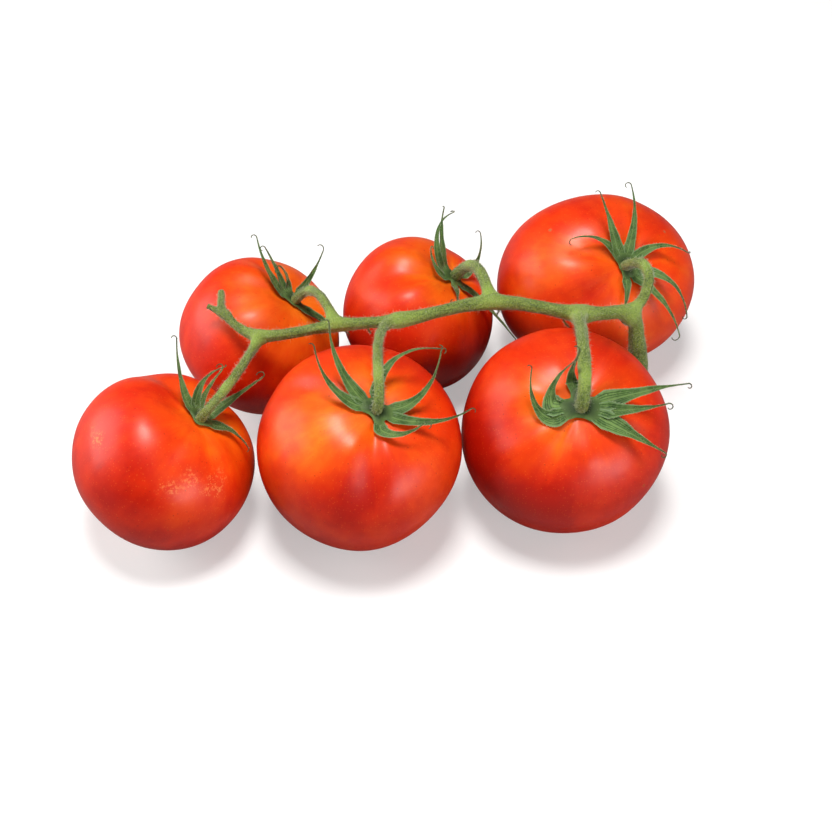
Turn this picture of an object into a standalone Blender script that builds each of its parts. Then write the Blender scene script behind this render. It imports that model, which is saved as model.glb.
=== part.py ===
"""A truss of six vine tomatoes, lying on a flat surface.

The truss stem runs along X, its cut base at +X and its forked tip at -X. Six tomatoes hang from it
by stalks, three in front (-Y) and three behind (+Y), and each wears a calyx of long sepals.
Numbers 1 to 6 run from the cut base to the tip. Lengths are in metres and angles in degrees.
"""

import math
from dataclasses import dataclass

import bmesh
import bpy
from mathutils import Matrix, Vector

# ---------------------------------------------------------------- driving sizes
TOUCH_GAP = 0.0003  # left between two pieces that touch
SKIN_GAP = 0.0006  # sepals lie this far off the tomato's skin
CONTACT_PRESS = 0.0006  # how far a tomato's weight flattens it where it rests

SHOULDER_POWER = 2.25  # above 2 the shoulders are squarer than an ellipse's
DIMPLE_SPREAD = 24.0  # polar angle over which the stem dimple fades out
BLOSSOM_DENT = 0.0010
BLOSSOM_SPREAD = 12.0
FURROW_PEAK = 36.0  # polar angle at which a furrow is deepest
FURROW_SPREAD = 30.0

CALYX_THICKNESS = 0.0009
CALYX_CENTRE = 0.0040  # flat middle of a calyx, on which the stalk stands
CALYX_SEAT = 0.0002  # how far that middle stands off the bottom of the dimple
SEPAL_TIP_WIDTH = 0.0009
SEPAL_KEEL = 0.10  # how far a sepal's edges turn down, as a share of its width
SEPAL_ROWS = 10
CURL_ROWS = 4

STALK_RADIUS = 0.0021
STALK_FOOT_RADIUS = 0.0029  # where it meets the calyx
KNUCKLE_RADIUS = 0.0027
KNUCKLE_PLACE = 0.38  # along the stalk from the calyx
STEM_RADIUS = 0.0025  # the truss stem between its nodes
NODE_RADIUS = 0.0032  # the truss stem where a stalk leaves it
BASE_RADIUS = 0.0038  # at the cut base
BOSS_RADIUS = 0.0025
BOSS_LENGTH = 0.0012  # how far a boss stands off the side of its node
BASE_POINT = (0.0095, -0.0030, -0.0440)  # cut base, from the first node
BASE_BEND = (0.0055, -0.0035, -0.0150)  # the bend above it, from the first node
FORK_POINT = (-0.0090, 0.0115, 0.0015)  # where the tip forks, from the last node
TWIG_RADIUS = 0.0018
TWIG_ENDS = ((0.0010, 0.0085, 0.0010), (-0.0060, 0.0045, 0.0020))  # from the fork

FRUIT_MERIDIANS = 28
FRUIT_RINGS = 16
TUBE_SIDES = 12
STALK_SIDES = 10


@dataclass
class Sepal:
    """One lobe of a calyx. Its tip lies `reach` from the calyx's middle and `rise` above it."""

    bearing: float  # where it leaves the calyx, counter-clockwise from +X
    width: float  # across its base
    reach: float
    rise: float
    swing: float = 0.0  # how far it turns sideways on its way to the tip
    bow: float = 0.0  # how far its middle stands above the straight line to the tip
    curl: float = 0.0  # turn of the thin tip, downwards where positive
    curl_radius: float = 0.0020


@dataclass
class Tomato:
    """One tomato with the calyx and the stalk that hold it."""

    number: int
    row: int  # -1 in front of the truss stem, +1 behind it
    inset: float  # from the truss line to the tomato's nearest side
    row_gap: float  # between it and the one before it in its row
    radius: float
    upper_ratio: float  # upper half-height over radius
    lower_ratio: float  # lower half-height over radius
    lean: float  # of the tomato's axis from upright
    lean_bearing: float
    dimple: float
    furrows: tuple  # (bearing, depth, half-width in degrees)
    calyx_radius: float
    sepals: tuple
    node_shift: float  # the stalk leaves the truss stem this far along it from the tomato
    node_offset: float  # and this far across
    node_rise: float  # and this far over the tomato's highest point
    knee: float  # the stalk follows the tomato's axis about this far before it bends
    arch: float  # upward slope at which the stalk leaves the truss stem
    oval: float = 0.0  # share by which the tomato is wider along oval_bearing
    oval_bearing: float = 0.0


FIRST_X = 0.0768  # place of tomato 1 along the truss
SECOND_X = 0.0480  # place of tomato 2 along the truss

TOMATOES = (
    Tomato(
        number=1, row=1, inset=-0.0031, row_gap=0.0, radius=0.0392,
        upper_ratio=0.80, lower_ratio=0.80, lean=37.0, lean_bearing=-73.0, dimple=0.0030,
        furrows=((150.0, 0.0012, 16.0), (60.0, 0.0010, 14.0), (-30.0, 0.0006, 14.0)),
        calyx_radius=0.0062,
        sepals=(
            Sepal(34.0, 0.0056, 0.0250, 0.0045, swing=-20.0, bow=0.0010, curl=110.0),
            Sepal(76.0, 0.0056, 0.0295, 0.0060, swing=10.0, bow=0.0015, curl=130.0),
            Sepal(114.0, 0.0064, 0.0285, 0.0060, swing=-2.0, bow=0.0015, curl=60.0),
            Sepal(142.0, 0.0044, 0.0240, 0.0010, swing=12.0, bow=0.0010, curl=40.0),
            Sepal(-100.0, 0.0046, 0.0170, -0.0010, swing=-10.0, bow=0.0010, curl=30.0),
            Sepal(-48.0, 0.0054, 0.0340, 0.0010, swing=-10.0, bow=0.0030, curl=60.0),
            Sepal(-14.0, 0.0054, 0.0300, 0.0025, swing=-28.0, bow=0.0030, curl=40.0),
        ),
        node_shift=-0.0005, node_offset=-0.0075, node_rise=-0.0085, knee=0.0110, arch=0.25,
        oval=0.07, oval_bearing=0.0,
    ),
    Tomato(
        number=2, row=-1, inset=-0.0001, row_gap=0.0, radius=0.0366,
        upper_ratio=0.84, lower_ratio=0.86, lean=24.5, lean_bearing=-86.0, dimple=0.0024,
        furrows=((178.0, 0.0016, 15.0), (-125.0, 0.0010, 14.0), (20.0, 0.0007, 16.0)),
        calyx_radius=0.0092,
        sepals=(
            Sepal(5.0, 0.0068, 0.0340, 0.0090, swing=-4.0, bow=0.0010, curl=30.0),
            Sepal(-17.0, 0.0060, 0.0280, 0.0060, swing=6.0, bow=0.0010, curl=70.0),
            Sepal(-44.0, 0.0074, 0.0290, 0.0005, swing=6.0, bow=0.0010, curl=20.0),
            Sepal(-158.0, 0.0082, 0.0205, 0.0095, swing=-58.0, bow=-0.0030),
            Sepal(176.0, 0.0082, 0.0165, 0.0105, swing=-58.0, bow=-0.0030),
            Sepal(102.0, 0.0062, 0.0275, 0.0070, swing=8.0, curl=120.0),
        ),
        node_shift=0.0092, node_offset=-0.0075, node_rise=-0.0035, knee=0.0080, arch=0.50,
    ),
    Tomato(
        number=3, row=1, inset=0.0031, row_gap=0.0010, radius=0.0309,
        upper_ratio=0.84, lower_ratio=0.84, lean=33.5, lean_bearing=-10.0, dimple=0.0026,
        furrows=((-170.0, 0.0022, 15.0), (80.0, 0.0008, 14.0)),
        calyx_radius=0.0058,
        sepals=(
            Sepal(38.0, 0.0050, 0.0175, 0.0125, swing=32.0, bow=0.0010, curl=140.0),
            Sepal(136.0, 0.0054, 0.0235, 0.0120, swing=-22.0, bow=0.0020, curl=150.0),
            Sepal(166.0, 0.0054, 0.0230, 0.0110, swing=-66.0, bow=0.0020, curl=120.0),
            Sepal(-156.0, 0.0044, 0.0140, 0.0030, swing=-60.0, bow=0.0005, curl=30.0),
            Sepal(-98.0, 0.0042, 0.0170, 0.0005, swing=4.0, bow=0.0010),
            Sepal(-42.0, 0.0052, 0.0340, -0.0035, swing=10.0, bow=0.0020, curl=20.0),
        ),
        node_shift=0.0218, node_offset=0.0010, node_rise=0.0045, knee=0.0090, arch=0.20,
        oval=0.02, oval_bearing=80.0,
    ),
    Tomato(
        number=4, row=-1, inset=-0.0011, row_gap=0.0006, radius=0.0360,
        upper_ratio=0.86, lower_ratio=0.97, lean=19.5, lean_bearing=-56.0, dimple=0.0030,
        furrows=((-98.0, 0.0017, 14.0), (160.0, 0.0013, 15.0), (50.0, 0.0006, 16.0)),
        calyx_radius=0.0068,
        sepals=(
            Sepal(10.0, 0.0056, 0.0255, 0.0140, swing=26.0, bow=-0.0010, curl=30.0),
            Sepal(54.0, 0.0056, 0.0265, 0.0130, swing=-14.0, bow=0.0010, curl=40.0),
            Sepal(128.0, 0.0064, 0.0310, 0.0115, swing=-6.0, bow=0.0010, curl=20.0),
            Sepal(154.0, 0.0058, 0.0280, 0.0095, swing=-16.0, curl=120.0),
            Sepal(-100.0, 0.0062, 0.0150, 0.0050, swing=74.0, bow=0.0010),
            Sepal(-16.0, 0.0058, 0.0305, 0.0045, swing=12.0, bow=0.0010, curl=60.0),
        ),
        node_shift=0.0190, node_offset=-0.0015, node_rise=-0.0050, knee=0.0105, arch=0.30,
    ),
    Tomato(
        number=5, row=1, inset=-0.0003, row_gap=0.0006, radius=0.0309,
        upper_ratio=0.84, lower_ratio=0.84, lean=36.5, lean_bearing=-12.0, dimple=0.0026,
        furrows=((175.0, 0.0014, 16.0), (100.0, 0.0007, 15.0)),
        calyx_radius=0.0058,
        sepals=(
            Sepal(-32.0, 0.0054, 0.0240, 0.0010, swing=14.0, bow=0.0010, curl=20.0),
            Sepal(50.0, 0.0048, 0.0195, 0.0130, swing=22.0, bow=0.0010, curl=60.0),
            Sepal(98.0, 0.0044, 0.0150, 0.0095, swing=6.0, bow=0.0010, curl=90.0),
            Sepal(134.0, 0.0058, 0.0210, 0.0080, swing=6.0, bow=0.0010, curl=20.0),
            Sepal(162.0, 0.0052, 0.0255, 0.0085, swing=-14.0, bow=0.0010, curl=30.0),
        ),
        node_shift=0.0282, node_offset=0.0010, node_rise=0.0035, knee=0.0100, arch=0.30,
    ),
    Tomato(
        number=6, row=-1, inset=-0.0050, row_gap=0.0018, radius=0.0321,
        upper_ratio=0.84, lower_ratio=0.84, lean=36.5, lean_bearing=-1.0, dimple=0.0026,
        furrows=((118.0, 0.0022, 15.0), (-70.0, 0.0006, 15.0)),
        calyx_radius=0.0058,
        sepals=(
            Sepal(42.0, 0.0052, 0.0250, 0.0130, bow=0.0010, curl=40.0),
            Sepal(-6.0, 0.0054, 0.0195, 0.0015, swing=-16.0, bow=0.0010, curl=60.0),
            Sepal(88.0, 0.0036, 0.0155, 0.0110, swing=-10.0),
            Sepal(106.0, 0.0046, 0.0200, 0.0090, swing=-32.0, bow=0.0010, curl=20.0),
            Sepal(130.0, 0.0056, 0.0255, 0.0135, swing=-2.0, bow=-0.0010, curl=110.0),
        ),
        node_shift=0.0342, node_offset=0.0030, node_rise=-0.0033, knee=0.0090, arch=0.0,
    ),
)


# ---------------------------------------------------------------- small helpers
def clear_scene():
    for obj in list(bpy.data.objects):
        bpy.data.objects.remove(obj, do_unlink=True)


def around(bearing, other):
    """Signed difference of two bearings, from -180 to 180."""
    return (bearing - other + 180.0) % 360.0 - 180.0


def smooth(value, low, high):
    share = min(max((value - low) / (high - low), 0.0), 1.0)
    return share * share * (3.0 - 2.0 * share)


def material(name, colour, roughness):
    made = bpy.data.materials.new(name)
    made.use_nodes = True
    shader = made.node_tree.nodes["Principled BSDF"]
    shader.inputs["Base Color"].default_value = (*colour, 1.0)
    shader.inputs["Roughness"].default_value = roughness
    made.diffuse_color = (*colour, 1.0)
    return made


def mesh_object(name, vertices, faces, finish, parent=None):
    """A smooth-shaded object whose faces all point outwards."""
    mesh = bpy.data.meshes.new(name)
    mesh.from_pydata([tuple(vertex) for vertex in vertices], [], faces)
    work = bmesh.new()
    work.from_mesh(mesh)
    bmesh.ops.recalc_face_normals(work, faces=work.faces)
    work.to_mesh(mesh)
    work.free()
    for polygon in mesh.polygons:
        polygon.use_smooth = True
    mesh.materials.append(finish)
    obj = bpy.data.objects.new(name, mesh)
    bpy.context.scene.collection.objects.link(obj)
    obj.parent = parent
    return obj


def empty(name, parent=None):
    obj = bpy.data.objects.new(name, None)
    obj.empty_display_size = 0.01
    bpy.context.scene.collection.objects.link(obj)
    obj.parent = parent
    return obj


def bezier(a, b, c, d, count):
    points = []
    for step in range(count + 1):
        t = step / count
        s = 1.0 - t
        points.append(s**3 * a + 3 * s * s * t * b + 3 * s * t * t * c + t**3 * d)
    return points


def through(points, count):
    """A smooth path through all the points, with `count` steps between each two."""
    ends = [2 * points[0] - points[1], *points, 2 * points[-1] - points[-2]]
    path = [points[0]]
    for p, q, r, s in zip(ends, ends[1:], ends[2:], ends[3:]):
        for step in range(1, count + 1):
            t = step / count
            path.append(
                0.5 * (2 * q + (r - p) * t + (2 * p - 5 * q + 4 * r - s) * t * t
                       + (3 * q - p - 3 * r + s) * t**3)
            )
    return path


def tube(path, radii, sides, first_way=None, last_way=None):
    """(vertices, faces) of a closed round tube along the path, turned as little as possible.

    Its ends are square to the path, or to the ways given for them.
    """
    vertices = []
    faces = []
    across = None
    for index, point in enumerate(path):
        before = path[max(index - 1, 0)]
        after = path[min(index + 1, len(path) - 1)]
        along = (after - before).normalized()
        if index == 0 and first_way:
            along = first_way
        if index == len(path) - 1 and last_way:
            along = last_way
        if across is None:
            across = along.orthogonal().normalized()
        across = (across - across.dot(along) * along).normalized()
        other = along.cross(across)
        for side in range(sides):
            turn = math.tau * side / sides
            offset = math.cos(turn) * across + math.sin(turn) * other
            vertices.append(point + radii[index] * offset)
    for ring in range(len(path) - 1):
        for side in range(sides):
            first = ring * sides + side
            second = ring * sides + (side + 1) % sides
            faces.append((first, second, second + sides, first + sides))
    faces.append(tuple(reversed(range(sides))))
    faces.append(tuple(range((len(path) - 1) * sides, len(path) * sides)))
    return vertices, faces


# ---------------------------------------------------------------- tomatoes
def skin_radius(tomato, polar, bearing):
    """Distance from the tomato's middle to its skin, `polar` degrees from its stem end."""
    theta = math.radians(polar)
    ratio = tomato.upper_ratio if polar < 90.0 else tomato.lower_ratio
    wide = tomato.radius
    wide *= 1.0 + tomato.oval * math.cos(2 * math.radians(bearing - tomato.oval_bearing))
    wide /= 1.0 + tomato.oval
    tall = tomato.radius * ratio
    total = (abs(math.sin(theta)) / wide) ** SHOULDER_POWER
    total += (abs(math.cos(theta)) / tall) ** SHOULDER_POWER
    radius = total ** (-1.0 / SHOULDER_POWER)
    radius -= tomato.dimple * math.exp(-((polar / DIMPLE_SPREAD) ** 2))
    radius -= BLOSSOM_DENT * math.exp(-(((180.0 - polar) / BLOSSOM_SPREAD) ** 2))
    for furrow_bearing, depth, width in tomato.furrows:
        fade = math.exp(-(((polar - FURROW_PEAK) / FURROW_SPREAD) ** 2))
        fade *= smooth(polar, 0.0, 18.0)
        near = math.exp(-((around(bearing, furrow_bearing) / width) ** 2))
        radius -= depth * fade * near
    return radius


def spherical(polar, bearing):
    theta = math.radians(polar)
    phi = math.radians(bearing)
    flat = math.sin(theta)
    return Vector((flat * math.cos(phi), flat * math.sin(phi), math.cos(theta)))


def tomato_surface(tomato):
    vertices = [Vector((0, 0, skin_radius(tomato, 0.0, 0.0)))]
    faces = []
    for ring in range(1, FRUIT_RINGS):
        polar = 180.0 * ring / FRUIT_RINGS
        for step in range(FRUIT_MERIDIANS):
            bearing = 360.0 * step / FRUIT_MERIDIANS
            vertices.append(skin_radius(tomato, polar, bearing) * spherical(polar, bearing))
    vertices.append(Vector((0, 0, -skin_radius(tomato, 180.0, 0.0))))
    last = len(vertices) - 1
    for step in range(FRUIT_MERIDIANS):
        after = (step + 1) % FRUIT_MERIDIANS
        faces.append((0, 1 + step, 1 + after))
        for ring in range(FRUIT_RINGS - 2):
            start = 1 + ring * FRUIT_MERIDIANS
            below = start + FRUIT_MERIDIANS
            faces.append((start + step, below + step, below + after, start + after))
        start = 1 + (FRUIT_RINGS - 2) * FRUIT_MERIDIANS
        faces.append((start + step, last, start + after))
    return vertices, faces


def lean_matrix(tomato):
    turn = math.radians(tomato.lean_bearing)
    hinge = Vector((-math.sin(turn), math.cos(turn), 0.0))
    return Matrix.Rotation(math.radians(tomato.lean), 4, hinge)


def place_tomatoes():
    """The frame of each tomato, in rows that touch, each pressed a little into the surface."""
    frames = {}
    before = {}
    for tomato in TOMATOES:
        y = tomato.row * (tomato.inset + tomato.radius)
        if tomato.row in before:
            last, last_x, last_y = before[tomato.row]
            span = last.radius + tomato.radius + tomato.row_gap
            x = last_x - math.sqrt(span**2 - (y - last_y) ** 2)
        else:
            x = FIRST_X if tomato.number == 1 else SECOND_X
        before[tomato.row] = (tomato, x, y)
        turned = lean_matrix(tomato)
        lowest = min((turned @ vertex).z for vertex in tomato_surface(tomato)[0])
        z = -lowest - CONTACT_PRESS
        frames[tomato.number] = Matrix.Translation((x, y, z)) @ turned
    return frames


def rest_flat(obj):
    """Cuts off what the surface presses in, and leaves a flat contact patch at Z = 0."""
    to_object = obj.matrix_world.inverted()
    work = bmesh.new()
    work.from_mesh(obj.data)
    cut = bmesh.ops.bisect_plane(
        work,
        geom=[*work.verts, *work.edges, *work.faces],
        plane_co=to_object @ Vector((0, 0, 0)),
        plane_no=(to_object.to_3x3() @ Vector((0, 0, 1))).normalized(),
        clear_inner=True,
    )
    edges = [item for item in cut["geom_cut"] if isinstance(item, bmesh.types.BMEdge)]
    patch = bmesh.ops.contextual_create(work, geom=edges)
    for face in patch["faces"]:
        face.smooth = False
        face.material_index = 0
    bmesh.ops.recalc_face_normals(work, faces=work.faces)
    work.to_mesh(obj.data)
    work.free()


# ---------------------------------------------------------------- calyces
def calyx_level(tomato):
    """Height of the calyx's middle surface over the tomato's middle."""
    return skin_radius(tomato, 0.0, 0.0) + SKIN_GAP + CALYX_SEAT + CALYX_THICKNESS / 2


def off_skin(tomato, point):
    """The point, moved straight out from the tomato's middle until it clears the skin."""
    distance = point.length
    polar = math.degrees(math.acos(max(-1.0, min(1.0, point.z / distance))))
    bearing = math.degrees(math.atan2(point.y, point.x))
    least = skin_radius(tomato, polar, bearing) + SKIN_GAP + CALYX_THICKNESS / 2
    return point if distance >= least else point * (least / distance)


def sepal_line(tomato, sepal):
    """Points along a sepal's middle from the calyx's rim, with the width at each."""
    level = calyx_level(tomato)
    points = []
    widths = []
    for row in range(SEPAL_ROWS + 1):
        t = row / SEPAL_ROWS
        turn = math.radians(sepal.bearing + sepal.swing * t**1.4)
        out = tomato.calyx_radius + (sepal.reach - tomato.calyx_radius) * t
        height = level + sepal.rise * t**1.3 + sepal.bow * 4 * t * (1 - t)
        point = Vector((out * math.cos(turn), out * math.sin(turn), height))
        points.append(off_skin(tomato, point))
        taper = (1.0 - t) ** 0.75 * (1.0 + 0.25 * t)
        widths.append(SEPAL_TIP_WIDTH + (sepal.width - SEPAL_TIP_WIDTH) * taper)
    along = (points[-1] - points[-2]).normalized()
    side = Vector((0, 0, 1)).cross(along).normalized()
    for row in range(CURL_ROWS if sepal.curl else 0):
        turn = math.radians(sepal.curl) / CURL_ROWS
        along = Matrix.Rotation(turn, 3, side) @ along
        step = sepal.curl_radius * abs(turn)
        points.append(off_skin(tomato, points[-1] + along * step))
        widths.append(SEPAL_TIP_WIDTH)
    return points, widths


def sepal_rows(tomato, sepal):
    """Rows of three points across a sepal, left edge to right edge, beyond the calyx's rim."""
    points, widths = sepal_line(tomato, sepal)
    rows = []
    side = None
    for row in range(1, len(points)):
        along = (points[min(row + 1, len(points) - 1)] - points[row - 1]).normalized()
        if row <= SEPAL_ROWS:
            side = points[row].cross(along).normalized()
        lift = side.cross(along).normalized() * widths[row] * SEPAL_KEEL
        half = side * widths[row] / 2
        trio = (points[row] - half + lift, points[row], points[row] + half + lift)
        rows.append([off_skin(tomato, point) for point in trio])
    return rows


def calyx_surface(tomato):
    """The middle surface of a calyx: a flat centre, a rim, and one strip for each sepal."""
    level = calyx_level(tomato)
    sepals = sorted(tomato.sepals, key=lambda sepal: sepal.bearing % 360.0)
    rim = []  # (bearing, sepal it belongs to)
    count = len(sepals)
    for index, sepal in enumerate(sepals):
        after = sepals[(index + 1) % count]
        before = sepals[index - 1]
        room = min((after.bearing - sepal.bearing) % 360.0, (sepal.bearing - before.bearing) % 360.0)
        half = math.degrees(math.asin(min(sepal.width / 2 / tomato.calyx_radius, 1.0)))
        half = min(half, 0.46 * room)
        rim.append((sepal.bearing - half, index, -1))
        rim.append((sepal.bearing, index, 0))
        rim.append((sepal.bearing + half, index, 1))
        start = sepal.bearing + half
        after_half = math.degrees(math.asin(min(after.width / 2 / tomato.calyx_radius, 1.0)))
        span = (after.bearing - after_half - start) % 360.0
        fillers = int(span // 30.0) if span < 300.0 else 0
        for filler in range(1, fillers + 1):
            rim.append((start + span * filler / (fillers + 1), None, 0))
    centre = Vector((0, 0, level))
    vertices = [centre]
    size = len(rim)
    for bearing, _, _ in rim:
        turn = math.radians(bearing)
        vertices.append(centre + CALYX_CENTRE * Vector((math.cos(turn), math.sin(turn), 0)))
    for bearing, owner, _ in rim:
        turn = math.radians(bearing)
        out = tomato.calyx_radius * (1.0 if owner is not None else 0.93)
        point = centre + out * Vector((math.cos(turn), math.sin(turn), 0))
        vertices.append(off_skin(tomato, point))
    faces = []
    for step in range(size):
        after = (step + 1) % size
        faces.append((0, 1 + step, 1 + after))
        faces.append((1 + step, 1 + size + step, 1 + size + after, 1 + after))
    for index, sepal in enumerate(sepals):
        previous = [1 + size + step for step in range(size) if rim[step][1] == index]
        for trio in sepal_rows(tomato, sepal):
            start = len(vertices)
            vertices.extend(trio)
            current = [start, start + 1, start + 2]
            faces.append((previous[0], current[0], current[1], previous[1]))
            faces.append((previous[1], current[1], current[2], previous[2]))
            previous = current
    return vertices, faces


def thicken(obj):
    """Gives the middle surface its thickness and leaves a plain mesh."""
    solid = obj.modifiers.new("thickness", "SOLIDIFY")
    solid.thickness = CALYX_THICKNESS
    solid.offset = 0.0
    graph = bpy.context.evaluated_depsgraph_get()
    mesh = bpy.data.meshes.new_from_object(obj.evaluated_get(graph), depsgraph=graph)
    obj.modifiers.clear()
    obj.data = mesh


# ---------------------------------------------------------------- truss stem and stalks
def stem_nodes(frames):
    """The point of the truss stem's middle line from which each tomato's stalk leaves."""
    nodes = {}
    for tomato in TOMATOES:
        frame = frames[tomato.number]
        highest = max((frame @ vertex).z for vertex in tomato_surface(tomato)[0])
        x = frame.translation.x + tomato.node_shift
        nodes[tomato.number] = Vector((x, tomato.node_offset, highest + tomato.node_rise))
    return nodes


def stalk_course(tomato, frame, node):
    """Middle line of a stalk from the calyx to its boss, and the way the boss points."""
    upright = (frame.to_3x3() @ Vector((0, 0, 1))).normalized()
    foot = frame @ Vector((0, 0, calyx_level(tomato) + CALYX_THICKNESS / 2 + TOUCH_GAP))
    knee = foot + upright * tomato.knee
    way = knee - node
    way.z = 0.0
    way = (way.normalized() + Vector((0, 0, tomato.arch))).normalized()
    start = node + way * (NODE_RADIUS + BOSS_LENGTH + TOUCH_GAP)
    reach = (knee - start).length
    path = bezier(foot, foot + upright * tomato.knee * 1.4, start + way * reach * 0.45, start, 14)
    return path, way, upright


def stalk_radii(count):
    radii = []
    for step in range(count):
        t = step / (count - 1)
        radius = STALK_RADIUS
        radius += (STALK_FOOT_RADIUS - STALK_RADIUS) * math.exp(-((t / 0.10) ** 2))
        radius += (KNUCKLE_RADIUS - STALK_RADIUS) * math.exp(-(((t - KNUCKLE_PLACE) / 0.08) ** 2))
        radius += (BOSS_RADIUS - STALK_RADIUS) * math.exp(-(((1.0 - t) / 0.12) ** 2))
        radii.append(radius)
    return radii


def joined(obj, helpers):
    """The union of the object and its helpers as one plain mesh."""
    for helper in helpers:
        helper.hide_render = True
        union = obj.modifiers.new("union", "BOOLEAN")
        union.operation = "UNION"
        union.solver = "EXACT"
        union.object = helper
    graph = bpy.context.evaluated_depsgraph_get()
    mesh = bpy.data.meshes.new_from_object(obj.evaluated_get(graph), depsgraph=graph)
    obj.modifiers.clear()
    obj.data = mesh
    for helper in helpers:
        bpy.data.objects.remove(helper, do_unlink=True)
    for polygon in mesh.polygons:
        polygon.use_smooth = True


def build_stem(frames, nodes, courses, finish, root):
    first = nodes[1]
    last = nodes[6]
    fork = last + Vector(FORK_POINT)
    corners = [first + Vector(BASE_POINT), first + Vector(BASE_BEND)]
    corners += [nodes[tomato.number] for tomato in TOMATOES]
    corners.append(fork)
    steps = 5
    path = through(corners, steps)
    radii = []
    for index in range(len(path)):
        place = index / steps
        node_near = min(abs(place - node) for node in range(2, 8))
        radius = STEM_RADIUS + (NODE_RADIUS - STEM_RADIUS) * math.exp(-((node_near / 0.22) ** 2))
        base_share = smooth(2.0 - place, 0.0, 2.0)
        radius += (BASE_RADIUS - STEM_RADIUS) * base_share
        tip_share = smooth(place - 7.0, 0.0, 1.0)
        radius -= (STEM_RADIUS - TWIG_RADIUS) * 0.5 * tip_share
        radii.append(radius)
    stem = mesh_object("truss_stem", *tube(path, radii, TUBE_SIDES), finish, root)
    helpers = []
    for index, end in enumerate(TWIG_ENDS):
        twig = through([path[-2], fork + Vector(end) * 0.5, fork + Vector(end)], 3)
        girth = [TWIG_RADIUS * (0.9, 1.0)[step > 0] for step in range(len(twig))]
        helpers.append(mesh_object(f"twig_{index}", *tube(twig, girth, STALK_SIDES), finish))
    for tomato in TOMATOES:
        node = nodes[tomato.number]
        way = courses[tomato.number][1]
        boss = [node, node + way * (NODE_RADIUS + BOSS_LENGTH)]
        middle = (boss[0] + boss[1]) / 2
        girth = [BOSS_RADIUS * 0.9, BOSS_RADIUS * 1.08, BOSS_RADIUS]
        shape = tube([boss[0], middle, boss[1]], girth, STALK_SIDES)
        helpers.append(mesh_object(f"boss_{tomato.number}", *shape, finish))
    joined(stem, helpers)
    return stem


def centre_on_origin(root):
    """Moves the truss so that the middle of its footprint is the origin and its lowest point is Z = 0."""
    bpy.context.view_layer.update()
    low = Vector((math.inf,) * 3)
    high = Vector((-math.inf,) * 3)
    for obj in bpy.data.objects:
        if obj.type != "MESH":
            continue
        for vertex in obj.data.vertices:
            point = obj.matrix_world @ vertex.co
            low = Vector(map(min, low, point))
            high = Vector(map(max, high, point))
    root.location = (-(low.x + high.x) / 2, -(low.y + high.y) / 2, -low.z)


def main():
    clear_scene()
    skin = material("tomato_skin", (0.62, 0.035, 0.012), 0.28)
    leaf = material("calyx_green", (0.07, 0.20, 0.035), 0.65)
    bark = material("stem_green", (0.16, 0.26, 0.05), 0.60)
    root = empty("truss")
    frames = place_tomatoes()
    nodes = stem_nodes(frames)
    courses = {}
    for tomato in TOMATOES:
        number = tomato.number
        frame = frames[number]
        holder = empty(f"tomato_{number}_frame", root)
        holder.matrix_world = frame
        body = mesh_object(f"tomato_{number}", *tomato_surface(tomato), skin, holder)
        calyx = mesh_object(f"calyx_{number}", *calyx_surface(tomato), leaf, holder)
        bpy.context.view_layer.update()
        rest_flat(body)
        thicken(calyx)
        courses[number] = stalk_course(tomato, frame, nodes[number])
        path, way, upright = courses[number]
        shape = tube(path, stalk_radii(len(path)), STALK_SIDES, upright, -way)
        mesh_object(f"stalk_{number}", *shape, bark, root)
    build_stem(frames, nodes, courses, bark, root)
    centre_on_origin(root)


main()
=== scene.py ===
"""Six ripe tomatoes on one green truss: fine skins, calyces, stalks, truss stem and hairs.

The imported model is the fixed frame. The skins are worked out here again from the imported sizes, much
finer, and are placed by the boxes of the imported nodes. Calyces, stalks and the truss stem start from
the same points, with sepals, bends and a forked tip of their own. Numbers 1 to 6 run from the cut
base to the tip. Lengths are in metres and angles in degrees.
"""

import math
from dataclasses import dataclass

import bpy
import numpy as np
from mathutils import Matrix, Vector


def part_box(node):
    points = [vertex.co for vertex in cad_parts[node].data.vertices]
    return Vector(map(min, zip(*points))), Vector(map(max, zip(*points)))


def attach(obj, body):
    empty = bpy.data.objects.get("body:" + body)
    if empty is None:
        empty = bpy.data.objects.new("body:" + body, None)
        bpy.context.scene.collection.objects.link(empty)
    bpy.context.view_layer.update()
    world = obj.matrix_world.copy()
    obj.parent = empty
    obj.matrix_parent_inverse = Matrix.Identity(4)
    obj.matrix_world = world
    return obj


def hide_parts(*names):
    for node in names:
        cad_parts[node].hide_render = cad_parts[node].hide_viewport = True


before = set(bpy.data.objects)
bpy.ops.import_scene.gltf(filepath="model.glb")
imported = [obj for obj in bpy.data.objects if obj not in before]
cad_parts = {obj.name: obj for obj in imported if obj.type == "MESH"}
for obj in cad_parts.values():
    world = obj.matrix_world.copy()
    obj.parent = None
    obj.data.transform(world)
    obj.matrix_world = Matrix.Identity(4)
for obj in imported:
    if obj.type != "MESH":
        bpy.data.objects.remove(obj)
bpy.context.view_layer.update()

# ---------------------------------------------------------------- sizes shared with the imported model
TOUCH_GAP = 0.0003
SKIN_GAP = 0.0006
SHOULDER_POWER = 2.25  # above 2 the shoulders are squarer than an ellipse's
DIMPLE_SPREAD = 24.0  # polar angle over which the stem dimple fades out
BLOSSOM_DENT = 0.0010
BLOSSOM_SPREAD = 12.0
FURROW_PEAK = 36.0  # polar angle at which a furrow is deepest
FURROW_SPREAD = 30.0
CALYX_THICKNESS = 0.0009
CALYX_SEAT = 0.0002
KNUCKLE_PLACE = 0.38  # along the stalk from the calyx
STEM_RADIUS = 0.0025
NODE_RADIUS = 0.0032
BASE_RADIUS = 0.0038
BOSS_LENGTH = 0.0012
TRUSS_LINE_OFFSET = 0.0361  # from the first tomato's middle to the line that the stem follows
PACKED_MERIDIANS = 28
PACKED_RINGS = 16

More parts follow.
